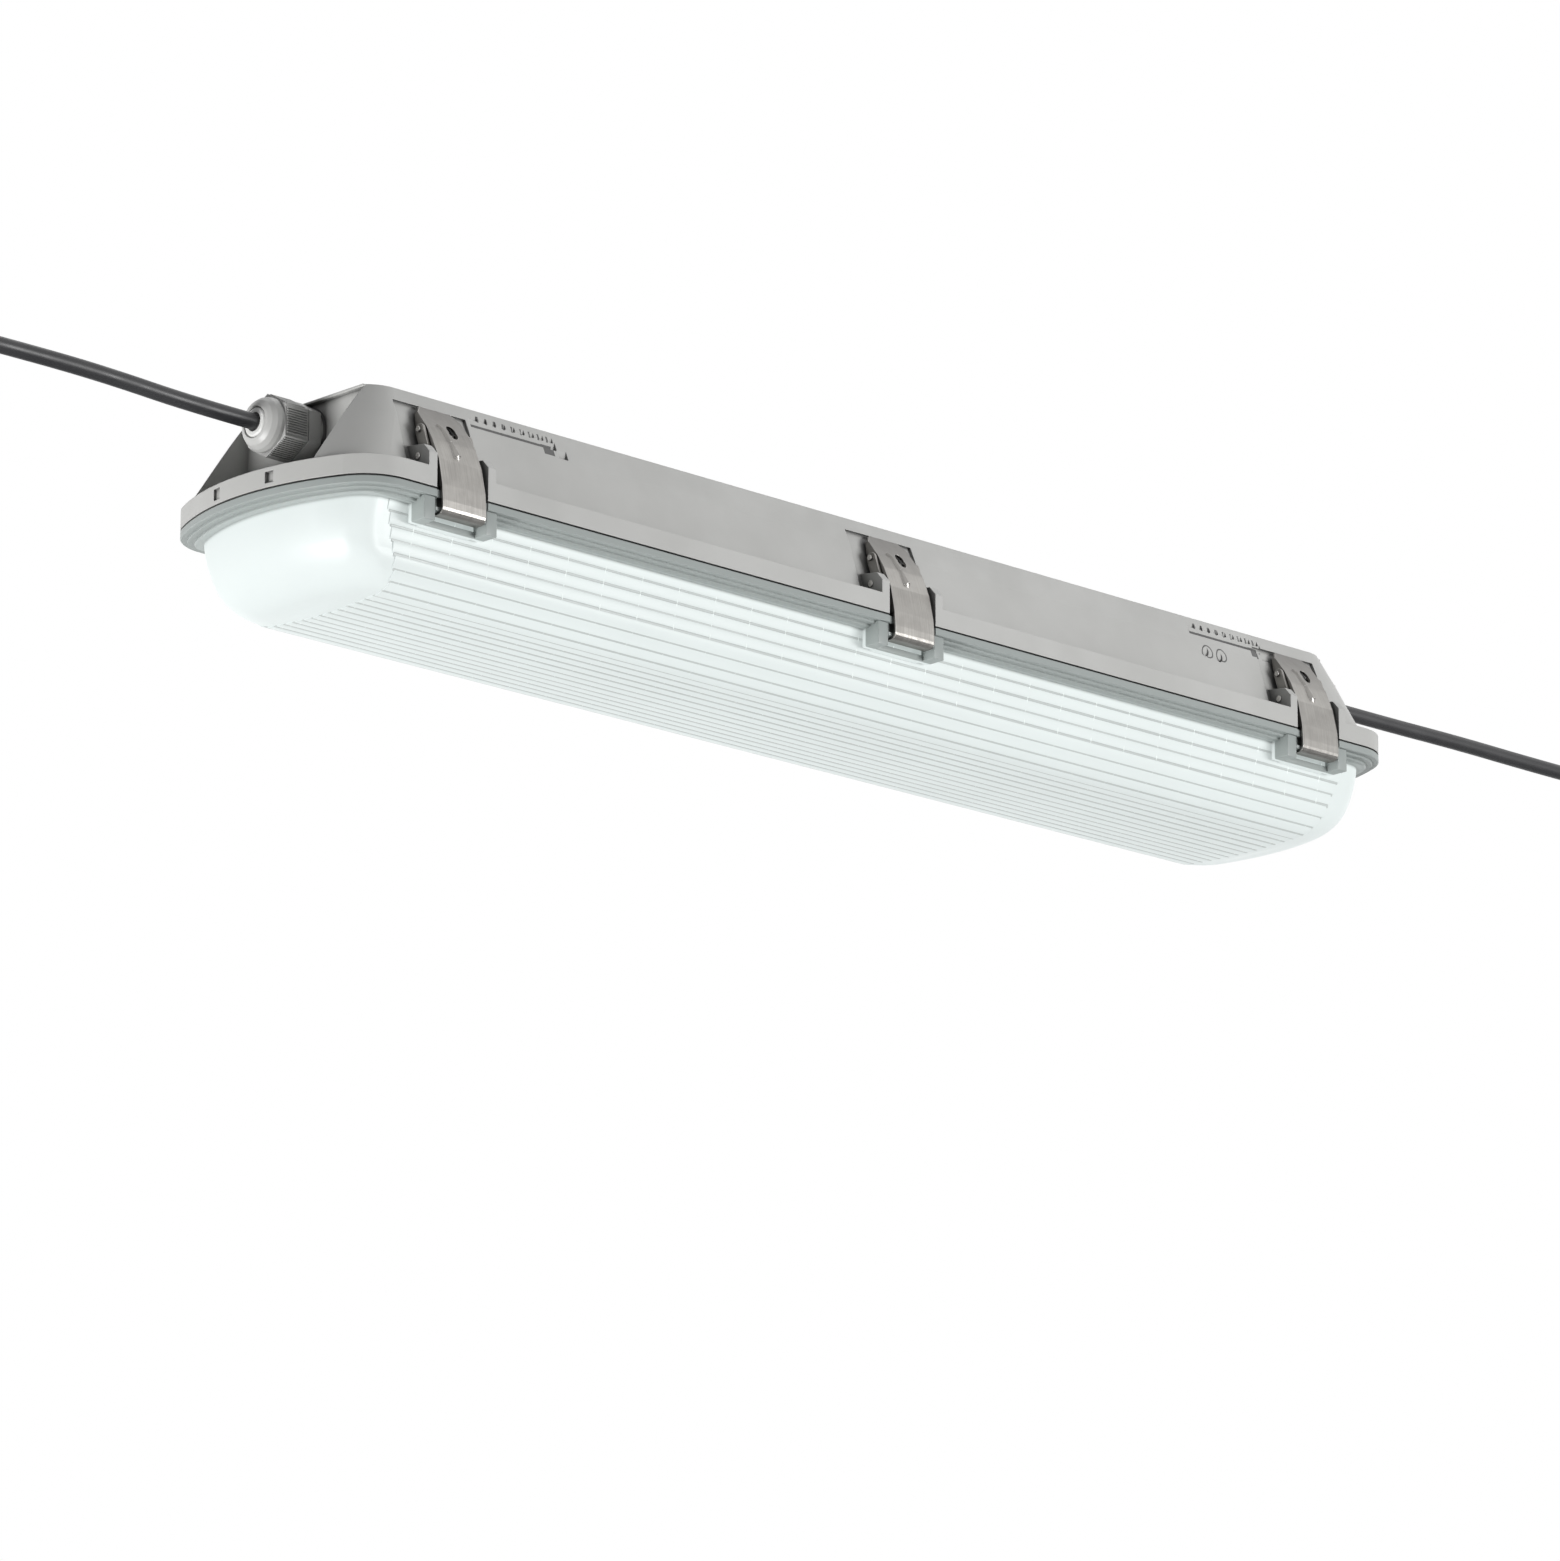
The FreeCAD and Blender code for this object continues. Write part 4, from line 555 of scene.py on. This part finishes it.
# %% Sizes of the lens
RIM_CORNER = 24.0 * MM
RIM_BOW = 120.5 * MM
WALL_INSET = 9.2 * MM
SIDE_DEPTH = 23.2 * MM
SIDE_TAPER = 6.1 * MM
LOWER_EDGE = 17.7 * MM
END_START = 8.0 * MM
END_DRAW = 30.0 * MM
SWELL = 1.3 * MM
FLOOR_IN = 26.2 * MM
FLOOR_END_IN = 7.0 * MM
FLOOR_CORNER = 4.0 * MM
LOWEST_DRAW = 0.06
FLUTE_RISE = 0.45 * MM
INNER_WALL = 2.2 * MM
LATCH_GAP = 2.2 * MM
floor_half_width = housing_high.y - WALL_INSET - SIDE_TAPER - LOWER_EDGE
latch_pitch = (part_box("latch_lever_front_right")[0].x - lever_low.x) / 2
latch_half = (lever_high.x - lever_low.x) / 2 + LATCH_GAP
BOW_STEPS = 10
CORNER_STEPS = 10


def lamp_loop(half_length, half_width, corner, bow, level, notch=0.0):
    """The light's outline at a level, with a notch of that depth at each latch."""
    bow_x = half_length - bow
    corner_y = half_width - corner
    corner_x = bow_x + math.sqrt((bow - corner) ** 2 - corner_y**2)
    lean = math.atan2(corner_y, corner_x - bow_x)
    quarter = []
    for i in range(BOW_STEPS + 1):
        turn = lean * i / BOW_STEPS
        quarter.append((bow_x + bow * math.cos(turn), bow * math.sin(turn)))
    for i in range(1, CORNER_STEPS + 1):
        turn = lean + (math.pi / 2 - lean) * i / CORNER_STEPS
        quarter.append((corner_x + corner * math.cos(turn), corner_y + corner * math.sin(turn)))
    full_corner_x = housing_high.x - RIM_BOW + math.sqrt(
        (RIM_BOW - RIM_CORNER) ** 2 - (housing_high.y - RIM_CORNER) ** 2
    )
    share = corner_x / full_corner_x
    step = 0.05 * MM
    for x, depth in (
        (latch_pitch + latch_half + step, 0),
        (latch_pitch + latch_half, notch),
        (latch_pitch - latch_half, notch),
        (latch_pitch - latch_half - step, 0),
        (latch_pitch / 2, 0),
        (latch_half + step, 0),
        (latch_half, notch),
    ):
        quarter.append((x * share, half_width - depth))
    left = [(-x, y) for x, y in reversed(quarter)]
    upper = quarter + left
    lower = [(x, -y) for x, y in reversed(upper[1:-1])]
    return [(x, y, level) for x, y in upper + lower]


def rim_loop(inset, level, notch=0.0):
    return lamp_loop(
        housing_high.x - inset, housing_high.y - inset, RIM_CORNER - inset, RIM_BOW - inset, level, notch
    )


def lens_half_width(depth, inset):
    if depth <= SIDE_DEPTH:
        return housing_high.y - WALL_INSET - SIDE_TAPER * depth / SIDE_DEPTH - inset
    radius = LOWER_EDGE - inset
    return floor_half_width + math.sqrt(max(radius**2 - (depth - SIDE_DEPTH) ** 2, 0.0))


def lens_loop(depth, inset):
    straight = housing_high.x - WALL_INSET - END_DRAW
    share = max(depth - END_START, 0.0) / (SIDE_DEPTH + LOWER_EDGE - inset - END_START)
    drawn = LOWEST_DRAW + (1 - LOWEST_DRAW) * math.sqrt(max(1 - share**2, 0.0))
    return lamp_loop(
        straight + (END_DRAW - inset) * drawn,
        lens_half_width(depth, inset),
        RIM_CORNER - WALL_INSET - inset,
        RIM_BOW - WALL_INSET,
        parting - depth,
    )


def tub_depths(start, inset):
    """Depths down a wall: even steps on the straight side, even angles on the round lower edge."""
    side = [start + (SIDE_DEPTH - start) * i / 6 for i in range(7)]
    radius = LOWER_EDGE - inset
    return side + [SIDE_DEPTH + radius * math.sin(math.radians(6 * i)) for i in range(1, 16)]


# %% The stack of loops
flange_top = lens_high.z
flange_low = flange_top - 3.4 * MM
STEP_DROP = 1.1 * MM
STEP_IN = 3.0 * MM
NOTCH = 0.7 * MM
ROUND = 0.35 * MM
loops = [lens_loop(depth, INNER_WALL) for depth in reversed(tub_depths(1.0 * MM, INNER_WALL))]
loops.append(lens_loop(parting - flange_top, INNER_WALL))
loops.append(rim_loop(ROUND, flange_top, NOTCH))
loops.append(rim_loop(0.0, flange_top - ROUND, NOTCH))
loops.append(rim_loop(0.0, flange_low + ROUND, NOTCH))
loops.append(rim_loop(ROUND, flange_low, NOTCH))
for step in (1, 2):
    top = flange_low - STEP_DROP * (step - 1)
    loops.append(rim_loop(STEP_IN * step, top))
    loops.append(rim_loop(STEP_IN * step, top - STEP_DROP + ROUND))
    loops.append(rim_loop(STEP_IN * step + ROUND, top - STEP_DROP))
flange_depth = parting - (flange_low - 2 * STEP_DROP)
loops += [lens_loop(depth, FLUTE_RISE) for depth in tub_depths(flange_depth, FLUTE_RISE)]
floor_depth = SIDE_DEPTH + LOWER_EDGE - FLUTE_RISE
floor_half_length = housing_high.x - WALL_INSET - END_DRAW + LOWEST_DRAW * END_DRAW
for i in range(1, 5):
    share = i / 4
    loops.append(
        lamp_loop(
            floor_half_length - FLOOR_END_IN * share,
            floor_half_width - FLOOR_IN * share,
            (RIM_CORNER - WALL_INSET - FLUTE_RISE) * (1 - share) + FLOOR_CORNER * share,
            RIM_BOW - WALL_INSET,
            parting - floor_depth - SWELL * share,
        )
    )
lens_body = skin_of_loops("lens_body", loops, 28)
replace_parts(dressed(lens_body, lens_material), "lens")
print("lens body:", len(loops), "loops of", len(loops[0]), "points")

# %% [markdown]
# ## Flutes and cross lines
#
# The frosted tub is fluted along its length so that the single LEDs don't show, and thin lines cross
# the flutes at even distances. Both repeat, so node trees place them: the flutes stand on the tub's
# cross-section at an even pitch and grow shorter towards the bottom, the cross lines follow the same
# cross-section at even steps along the light.


# %% Geometry node helpers
def node_recipe(name, inputs):
    """An empty geometry tree with named inputs: returns its graph, its inputs and its output."""
    tree = bpy.data.node_groups.new(name, "GeometryNodeTree")
    tree.interface.new_socket(name="Geometry", in_out="INPUT", socket_type="NodeSocketGeometry")
    for label, kind in inputs.items():
        tree.interface.new_socket(name=label, in_out="INPUT", socket_type="NodeSocket" + kind)
    tree.interface.new_socket(name="Geometry", in_out="OUTPUT", socket_type="NodeSocketGeometry")
    graph = Graph(tree)
    return graph, graph.node("NodeGroupInput").outputs, graph.node("NodeGroupOutput").inputs


def close_recipe(graph, geometry, material, result):
    """Ends a recipe: real instances with their material."""
    real = graph.node("GeometryNodeRealizeInstances", {"Geometry": geometry}).outputs[0]
    finished = graph.node("GeometryNodeSetMaterial", {"Geometry": real, "Material": material})
    graph.tree.links.new(finished.outputs[0], result["Geometry"])


def grown(name, start_mesh, tree, values, edge_angle):
    """Runs a recipe on a mesh and keeps what it makes as a plain mesh."""
    obj = linked(bpy.data.objects.new(name, start_mesh))
    modifier = obj.modifiers.new("recipe", "NODES")
    modifier.node_group = tree
    for item in tree.interface.items_tree:
        if item.item_type == "SOCKET" and item.in_out == "INPUT" and item.name in values:
            modifier[item.identifier] = values[item.name]
    obj.update_tag()
    bpy.context.view_layer.update()
    evaluated = obj.evaluated_get(bpy.context.evaluated_depsgraph_get())
    mesh = bpy.data.meshes.new_from_object(evaluated)
    obj.modifiers.remove(modifier)
    obj.data = shaded(mesh, edge_angle)
    return obj


def cross_section(start_depth, inset):
    """Open line round the tub in the plane X = 0, from one side under the floor to the other."""
    side = [(lens_half_width(depth, inset), depth) for depth in tub_depths(start_depth, inset)]
    floor = SIDE_DEPTH + LOWER_EDGE - inset
    side += [(floor_half_width - FLOOR_IN * share, floor + SWELL * share) for share in (0.5, 1.0)]
    line = [(0.0, -across, parting - depth) for across, depth in side]
    line += [(0.0, across, parting - depth) for across, depth in reversed(side)]
    mesh = bpy.data.meshes.new("cross_section")
    mesh.from_pydata(line, [(i, i + 1) for i in range(len(line) - 1)], [])
    return mesh


# %% Flutes, and thin bars of painted shade in the valleys between them
graph, given, result = node_recipe(
    "Flutes",
    {
        "Pitch": "Float",
        "Width": "Float",
        "Rise": "Float",
        "Half length": "Float",
        "Lean": "Float",
        "Top level": "Float",
        "Shift": "Float",
        "Broadening": "Float",
        "Material": "Material",
    },
)
line = graph.node("GeometryNodeMeshToCurve", {"Mesh": given["Geometry"]}).outputs[0]
full_length = graph.node("GeometryNodeCurveLength", {"Curve": line}).outputs[0]
spaces = graph.math("FLOOR", graph.math("DIVIDE", full_length, given["Pitch"]))
cut = graph.math("MULTIPLY", graph.math("DIVIDE", full_length, spaces), given["Shift"])
TRIM_START, TRIM_END = 4, 5
trimmed = {"Curve": line, TRIM_START: cut, TRIM_END: graph.math("SUBTRACT", full_length, cut)}
shortened = graph.node("GeometryNodeTrimCurve", trimmed, mode="LENGTH").outputs[0]
bars = graph.math("SUBTRACT", graph.math("ADD", spaces, 1.0), graph.math("MULTIPLY", given["Shift"], 2.0))
stations = graph.node(
    "GeometryNodeResampleCurve", {"Curve": shortened, "Count": bars}, mode="COUNT"
).outputs[0]
bar = graph.node("GeometryNodeMeshCylinder", {"Vertices": 20, "Radius": 1.0, "Depth": 2.0}).outputs["Mesh"]
bar_size = graph.node(
    "ShaderNodeCombineXYZ",
    {"X": given["Rise"], "Y": graph.math("MULTIPLY", given["Width"], 0.5), "Z": given["Half length"]},
).outputs[0]
laid = graph.node(
    "GeometryNodeTransform", {"Geometry": bar, "Rotation": (0.0, math.pi / 2, 0.0), "Scale": bar_size}
).outputs[0]
tangent = graph.node("GeometryNodeInputTangent").outputs[0]
turned = graph.node(
    "FunctionNodeAlignRotationToVector", {"Vector": tangent}, axis="Y", pivot_axis="X"
).outputs[0]
height = graph.node("ShaderNodeSeparateXYZ", {0: graph.node("GeometryNodeInputPosition").outputs[0]})
drop = graph.math("SUBTRACT", height.outputs["Z"], given["Top level"])
shift = graph.math("DIVIDE", graph.math("MULTIPLY", drop, given["Lean"]), given["Half length"])
broad = graph.math("SUBTRACT", 1.0, graph.math("MULTIPLY", drop, given["Broadening"]))
stretch = graph.node("ShaderNodeCombineXYZ", {"X": graph.math("ADD", shift, 1.0), "Y": broad, "Z": 1.0})
flutes = graph.node(
    "GeometryNodeInstanceOnPoints",
    {"Points": stations, "Instance": laid, "Rotation": turned, "Scale": stretch.outputs[0]},
).outputs[0]
close_recipe(graph, flutes, given["Material"], result)
FLUTE_PITCH = 5.6 * MM
FLUTE_HALF_LENGTH = 298 * MM
END_LEAN = 0.366
for name, width, rise, shift, broadening, material in (
    ("lens_flutes", 5.5 * MM, FLUTE_RISE, 0.0, 0.0, lens_material),
    # The valley bars are painted shade: dark, weakly glowing strips in the valleys between flutes.
    ("lens_valleys", 0.8 * MM, 0.38 * MM, 0.5, 48.0, darker_lens_lines["flute_valley"]),
):
    bars_made = grown(
        name,
        cross_section(flange_depth + 1.6 * MM, FLUTE_RISE),
        graph.tree,
        {
            "Pitch": FLUTE_PITCH,
            "Width": width,
            "Rise": rise,
            "Half length": FLUTE_HALF_LENGTH,
            "Lean": END_LEAN,
            "Top level": parting,
            "Shift": shift,
            "Broadening": broadening,
            "Material": material,
        },
        50,
    )
    dressed(bars_made)
    print(name, len(bars_made.data.polygons), "faces")

# %% Cross lines
graph, given, result = node_recipe(
    "Cross lines", {"Step": "Float", "Count": "Int", "Thickness": "Float", "Material": "Material"}
)
line = graph.node("GeometryNodeMeshToCurve", {"Mesh": given["Geometry"]}).outputs[0]
thread = graph.node(
    "GeometryNodeCurvePrimitiveCircle", {"Resolution": 8, "Radius": given["Thickness"]}
).outputs[0]
hoop = graph.node(
    "GeometryNodeCurveToMesh", {"Curve": line, "Profile Curve": thread, "Fill Caps": True}
).outputs[0]
reach = graph.math("MULTIPLY", graph.math("SUBTRACT", given["Count"], 1.0), -0.5)
first = graph.node("ShaderNodeCombineXYZ", {"X": graph.math("MULTIPLY", reach, given["Step"])}).outputs[0]
offset = graph.node("ShaderNodeCombineXYZ", {"X": given["Step"]}).outputs[0]
row = graph.node(
    "GeometryNodeMeshLine", {"Count": given["Count"], "Start Location": first, "Offset": offset}
).outputs[0]
hoops = graph.node("GeometryNodeInstanceOnPoints", {"Points": row, "Instance": hoop}).outputs[0]
close_recipe(graph, hoops, given["Material"], result)
lens_lines = grown(
    "lens_cross_lines",
    cross_section(flange_depth + 1.0 * MM, FLUTE_RISE),
    graph.tree,
    {"Step": 21.5 * MM, "Count": 27, "Thickness": 0.4 * MM, "Material": darker_lens_lines["cross_line"]},
    60,
)
dressed(lens_lines)
print("cross lines:", len(lens_lines.data.polygons), "faces")

# %% [markdown]
# ## Catches
#
# Under the flange, each latch has a moulded catch: a ledge with a bead that the hook grips, two legs
# beside it and a strip between their lower ends. They are clear like the flange.

# %% Six moulded catches
CATCH_FRONT = housing_high.y - 0.9 * MM
CATCH_BACK = housing_high.y - WALL_INSET - 2.0 * MM
LEG_WIDTH = 6.0 * MM
LEDGE_LOW = parting - 8.6 * MM
BEAD_LOW = parting - 9.7 * MM
LEG_LOW = parting - 14.5 * MM
BEAD_WIDTH = 2.5 * MM
STRIP_BACK = 2.0 * MM
STRIP_FRONT = 3.4 * MM
STRIP_HEIGHT = 2.6 * MM
CATCH_EDGE = 0.4 * MM
strip_back = CATCH_BACK - STRIP_BACK
strip_front = CATCH_BACK + STRIP_FRONT
working = bmesh.new()
for side in (-1, 1):
    for column in (-1, 0, 1):
        x = column * latch_pitch
        blocks = (
            (-latch_half, latch_half, CATCH_BACK, CATCH_FRONT, LEDGE_LOW, flange_low),
            (-latch_half, latch_half, CATCH_FRONT - BEAD_WIDTH, CATCH_FRONT, BEAD_LOW, flange_low),
            (-latch_half - LEG_WIDTH, -latch_half, CATCH_BACK, CATCH_FRONT, LEG_LOW, flange_low),
            (latch_half, latch_half + LEG_WIDTH, CATCH_BACK, CATCH_FRONT, LEG_LOW, flange_low),
            (-latch_half, latch_half, strip_back, strip_front, LEG_LOW, LEG_LOW + STRIP_HEIGHT),
        )
        for left, right, back, front, low, high in blocks:
            near, far = sorted((side * back, side * front))
            soft_box(working, (x + left, near, low), (x + right, far, high), CATCH_EDGE)
lens_catches = mesh_object("lens_catches", working, 40)
dressed(lens_catches, lens_material)
print("catches:", len(lens_catches.data.polygons), "faces")

# %% [markdown]
# ## Roof lips
#
# Over each end pocket the ceiling face runs on a little, as a thin lip between the two cheeks.

# %% A lip at each end
LIP_HALF_WIDTH = 38.3 * MM
LIP_BACK = 36.8 * MM
LIP_FRONT = 33.2 * MM
LIP_THICKNESS = 1.3 * MM
LIP_EDGE = 0.4 * MM
top = housing_high.z - 0.02 * MM
working = bmesh.new()
for sign in (-1, 1):
    near, far = sorted((sign * (housing_high.x - LIP_BACK), sign * (housing_high.x - LIP_FRONT)))
    soft_box(working, (near, -LIP_HALF_WIDTH, top - LIP_THICKNESS), (far, LIP_HALF_WIDTH, top), LIP_EDGE)
roof_lips = mesh_object("roof_lips", working, 40)
dressed(roof_lips, FINISHES["housing_grey"])
print("roof lips:", len(roof_lips.data.polygons), "faces")

# %% [markdown]
# ## Grip ribs on the dome nuts
#
# A dome nut is tightened by hand before the spanner, so its six flats carry small ribs. One row of
# ribs is made for one flat, and the row is repeated at each sixth of a turn.

# %% Ribs on both nuts
graph, given, result = node_recipe(
    "Nut ribs",
    {
        "Ribs": "Int",
        "Spacing": "Float",
        "Length": "Float",
        "Radius": "Float",
        "Flat": "Float",
        "Place": "Vector",
        "Material": "Material",
    },
)
bar = graph.node(
    "GeometryNodeMeshCylinder", {"Vertices": 10, "Radius": given["Radius"], "Depth": given["Length"]}
).outputs["Mesh"]
laid = graph.node(
    "GeometryNodeTransform", {"Geometry": bar, "Rotation": (0.0, math.pi / 2, 0.0)}
).outputs[0]
reach = graph.math("MULTIPLY", graph.math("SUBTRACT", given["Ribs"], 1.0), -0.5)
first = graph.node(
    "ShaderNodeCombineXYZ", {"Y": given["Flat"], "Z": graph.math("MULTIPLY", reach, given["Spacing"])}
).outputs[0]
offset = graph.node("ShaderNodeCombineXYZ", {"Z": given["Spacing"]}).outputs[0]
row = graph.node(
    "GeometryNodeMeshLine", {"Count": given["Ribs"], "Start Location": first, "Offset": offset}
).outputs[0]
one_flat = graph.node("GeometryNodeInstanceOnPoints", {"Points": row, "Instance": laid}).outputs[0]
turns = graph.node("GeometryNodeMeshLine", {"Count": 6, "Offset": (0.0, 0.0, 0.0)}).outputs[0]
index = graph.node("GeometryNodeInputIndex").outputs[0]
angle = graph.node("ShaderNodeCombineXYZ", {"X": graph.math("MULTIPLY", index, math.pi / 3)}).outputs[0]
spin = graph.node("FunctionNodeEulerToRotation", {0: angle}).outputs[0]
all_flats = graph.node(
    "GeometryNodeInstanceOnPoints", {"Points": turns, "Instance": one_flat, "Rotation": spin}
).outputs[0]
placed = graph.node(
    "GeometryNodeTransform", {"Geometry": all_flats, "Translation": given["Place"]}
).outputs[0]
close_recipe(graph, placed, given["Material"], result)
RIB_MIDDLE = 6.4 * MM
for side, sign in (("left", -1), ("right", 1)):
    nut_low, nut_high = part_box(f"{side}_gland_nut")
    nut_middle = (nut_low + nut_high) / 2
    inner_face = nut_high.x if sign < 0 else nut_low.x
    grips = grown(
        f"{side}_nut_ribs",
        bpy.data.meshes.new(f"{side}_nut_ribs"),
        graph.tree,
        {
            "Ribs": 11,
            "Spacing": 1.08 * MM,
            "Length": 11.0 * MM,
            "Radius": 0.42 * MM,
            "Flat": 12.05 * MM,
            "Place": (inner_face + sign * RIB_MIDDLE, nut_middle.y, nut_middle.z),
            "Material": FINISHES["gland_grey"],
        },
        50,
    )
    dressed(grips)
    print(grips.name, len(grips.data.polygons), "faces")

# %% [markdown]
# ## Cables
#
# Both cables are round, black and sheathed, about 7 mm thick. They are pulled nearly straight: each
# leaves its gland level, bends a little under its own stiffness and ends in an in-line connector
# outside the picture. A cable is one curve with a round section, so it bends as one piece.

# %% Two cables
CABLE_RADIUS = 3.5 * MM
CABLES = {
    "left": (
        148.05,
        (
            (-323.5, 0, -14.0),
            (-357.5, 0, -14.0),
            (-401.5, 0, -11.8),
            (-439.5, 0, -11.4),
            (-471.5, 0, -11.8),
        ),
    ),
    "right": (
        204.0,
        (
            (323.5, -18, -14.0),
            (365.5, -18, -14.0),
            (417.5, -18, -13.3),
            (473.5, -18, -13.8),
            (527.5, -18, -13.4),
        ),
    ),
}
for side, (length, route) in CABLES.items():
    curve = bpy.data.curves.new(f"{side}_cable_curve", "CURVE")
    curve.dimensions = "3D"
    curve.bevel_depth = CABLE_RADIUS
    curve.bevel_resolution = 8
    curve.resolution_u = 24
    curve.use_fill_caps = True
    spline = curve.splines.new("NURBS")
    spline.points.add(len(route) - 1)
    for point, spot in zip(spline.points, route):
        point.co = (*[v * MM for v in spot], 1.0)
    spline.order_u = 3
    spline.use_endpoint_u = True
    cable = linked(bpy.data.objects.new(f"{side}_cable_curve", curve))
    dressed(cable, FINISHES["cable_black"])
    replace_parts(cable, f"{side}_cable")
    print(side, "cable", length, "mm")

# %% [markdown]
# ## Finishes on the frame's own pieces
#
# The other pieces keep the frame's meshes. Each takes the finish of its material slot.

# %% A finish for every frame piece
NODE_FINISH = (
    ("housing", "housing_grey"),
    ("gasket", "seal_foam"),
    ("lens", None),
    ("gear_tray", "tray_white"),
    ("led_board", "board_white"),
    ("led_chips", "led_yellow"),
    ("tray_screws", "screw_steel"),
    ("board_screws", "screw_steel"),
    ("driver_screws", "screw_steel"),
    ("terminal_screws", "screw_steel"),
    ("driver", "driver_white"),
    ("terminal_block", "terminal_white"),
    ("latch_lever", "latch_steel"),
    ("latch_link", "latch_steel"),
    ("latch_pin", "pin_steel"),
    ("pivot_pins", "pin_steel"),
    ("gland_seal", "seal_rubber"),
    ("gland_washer", "seal_rubber"),
    ("gland_claw", "gland_white"),
    ("gland", "gland_grey"),
    ("connector", "connector_black"),
    ("cable", "cable_black"),
)
for name, obj in nodes.items():
    plain_name = name.removeprefix("left_").removeprefix("right_")
    slot = next(finish for start, finish in NODE_FINISH if plain_name.startswith(start))
    material = lens_material if slot is None else FINISHES[slot]
    obj.data.materials.clear()
    obj.data.materials.append(material)
print("finished", len(nodes), "frame pieces")

# %% [markdown]
# ## Camera, light and floor
#
# The photographer stood below the light's left end and looked slightly up with a long lens. The light
# is that of a white studio: a soft key from the front and right, a low fill from the left that
# lifts the lens and the rim's end but leaves the end pocket dark, two panels that only give sheen, and
# a pale floor far below that sends light back.

# %% Camera
camera_data = bpy.data.cameras.new("camera")
camera_data.sensor_width = 36.0
camera_data.lens = 180.5
camera = linked(bpy.data.objects.new("camera", camera_data))
camera.location = (-2.33008, -2.38599, -1.01934)
camera.rotation_euler = Vector((0.6713, 0.6927, 0.2637)).to_track_quat("-Z", "Y").to_euler()
bpy.context.scene.camera = camera
bpy.context.scene.view_settings.view_transform = "Standard"


# %% Lights
def area_light(name, place, target, width, height, power, gloss_only=False):
    data = bpy.data.lights.new(name, "AREA")
    data.shape = "RECTANGLE"
    data.size = width
    data.size_y = height
    data.energy = power
    light = linked(bpy.data.objects.new(name, data))
    light.location = place
    light.rotation_euler = (Vector(target) - Vector(place)).to_track_quat("-Z", "Y").to_euler()
    light.visible_camera = False
    light.visible_diffuse = not gloss_only


area_light("key", (0.98, -2.52, -0.28), (0.0, 0.0, -0.04), 1.2, 0.9, 56.0)
area_light("low_fill", (-1.9, 0.3, -1.2), (-0.1, 0.0, -0.06), 1.0, 0.8, 42.0)
area_light("top", (0.3, 0.6, 2.2), (0.0, 0.0, 0.0), 1.5, 1.5, 10.0)
area_light("sheen", (1.6, -0.77, 1.6), (0.0, 0.0, -0.01), 0.7, 0.7, 1.6, gloss_only=True)
area_light("end_strip", (-2.4, 0.6, 0.1), (-0.2, 0.0, -0.05), 0.14, 1.6, 6.0, gloss_only=True)
print("five area lights")

# %% White surroundings
world = bpy.data.worlds.new("studio")
world.use_nodes = True
bpy.context.scene.world = world
graph = Graph(world.node_tree)
world.node_tree.nodes.clear()
rays = graph.node("ShaderNodeLightPath").outputs
seen = graph.math("MAXIMUM", rays["Is Camera Ray"], rays["Is Glossy Ray"])
seen = graph.math("MAXIMUM", seen, rays["Is Transmission Ray"])
lighting = graph.node("ShaderNodeBackground", {"Color": tint(0.97, 0.98, 1.0), "Strength": 0.2})
backdrop = graph.node("ShaderNodeBackground", {"Color": tint(1.0, 1.0, 1.0), "Strength": 1.0})
chosen = graph.node("ShaderNodeMixShader", {0: seen, 1: lighting.outputs[0], 2: backdrop.outputs[0]})
graph.node("ShaderNodeOutputWorld", {"Surface": chosen.outputs[0]})

# %% Floor
FLOOR_LEVEL = -2.0
working = bmesh.new()
bmesh.ops.create_grid(working, x_segments=2, y_segments=2, size=4.0)
bmesh.ops.translate(working, verts=working.verts, vec=(0.0, 0.0, FLOOR_LEVEL))
floor_mesh = bpy.data.meshes.new("floor")
working.to_mesh(floor_mesh)
working.free()
floor = linked(bpy.data.objects.new("floor", floor_mesh))
floor.data.materials.append(moulded("floor_white", (0.86, 0.86, 0.86), (0.83, 0.83, 0.83), 0.7, 0.1, 90.0))
print("floor at", FLOOR_LEVEL)
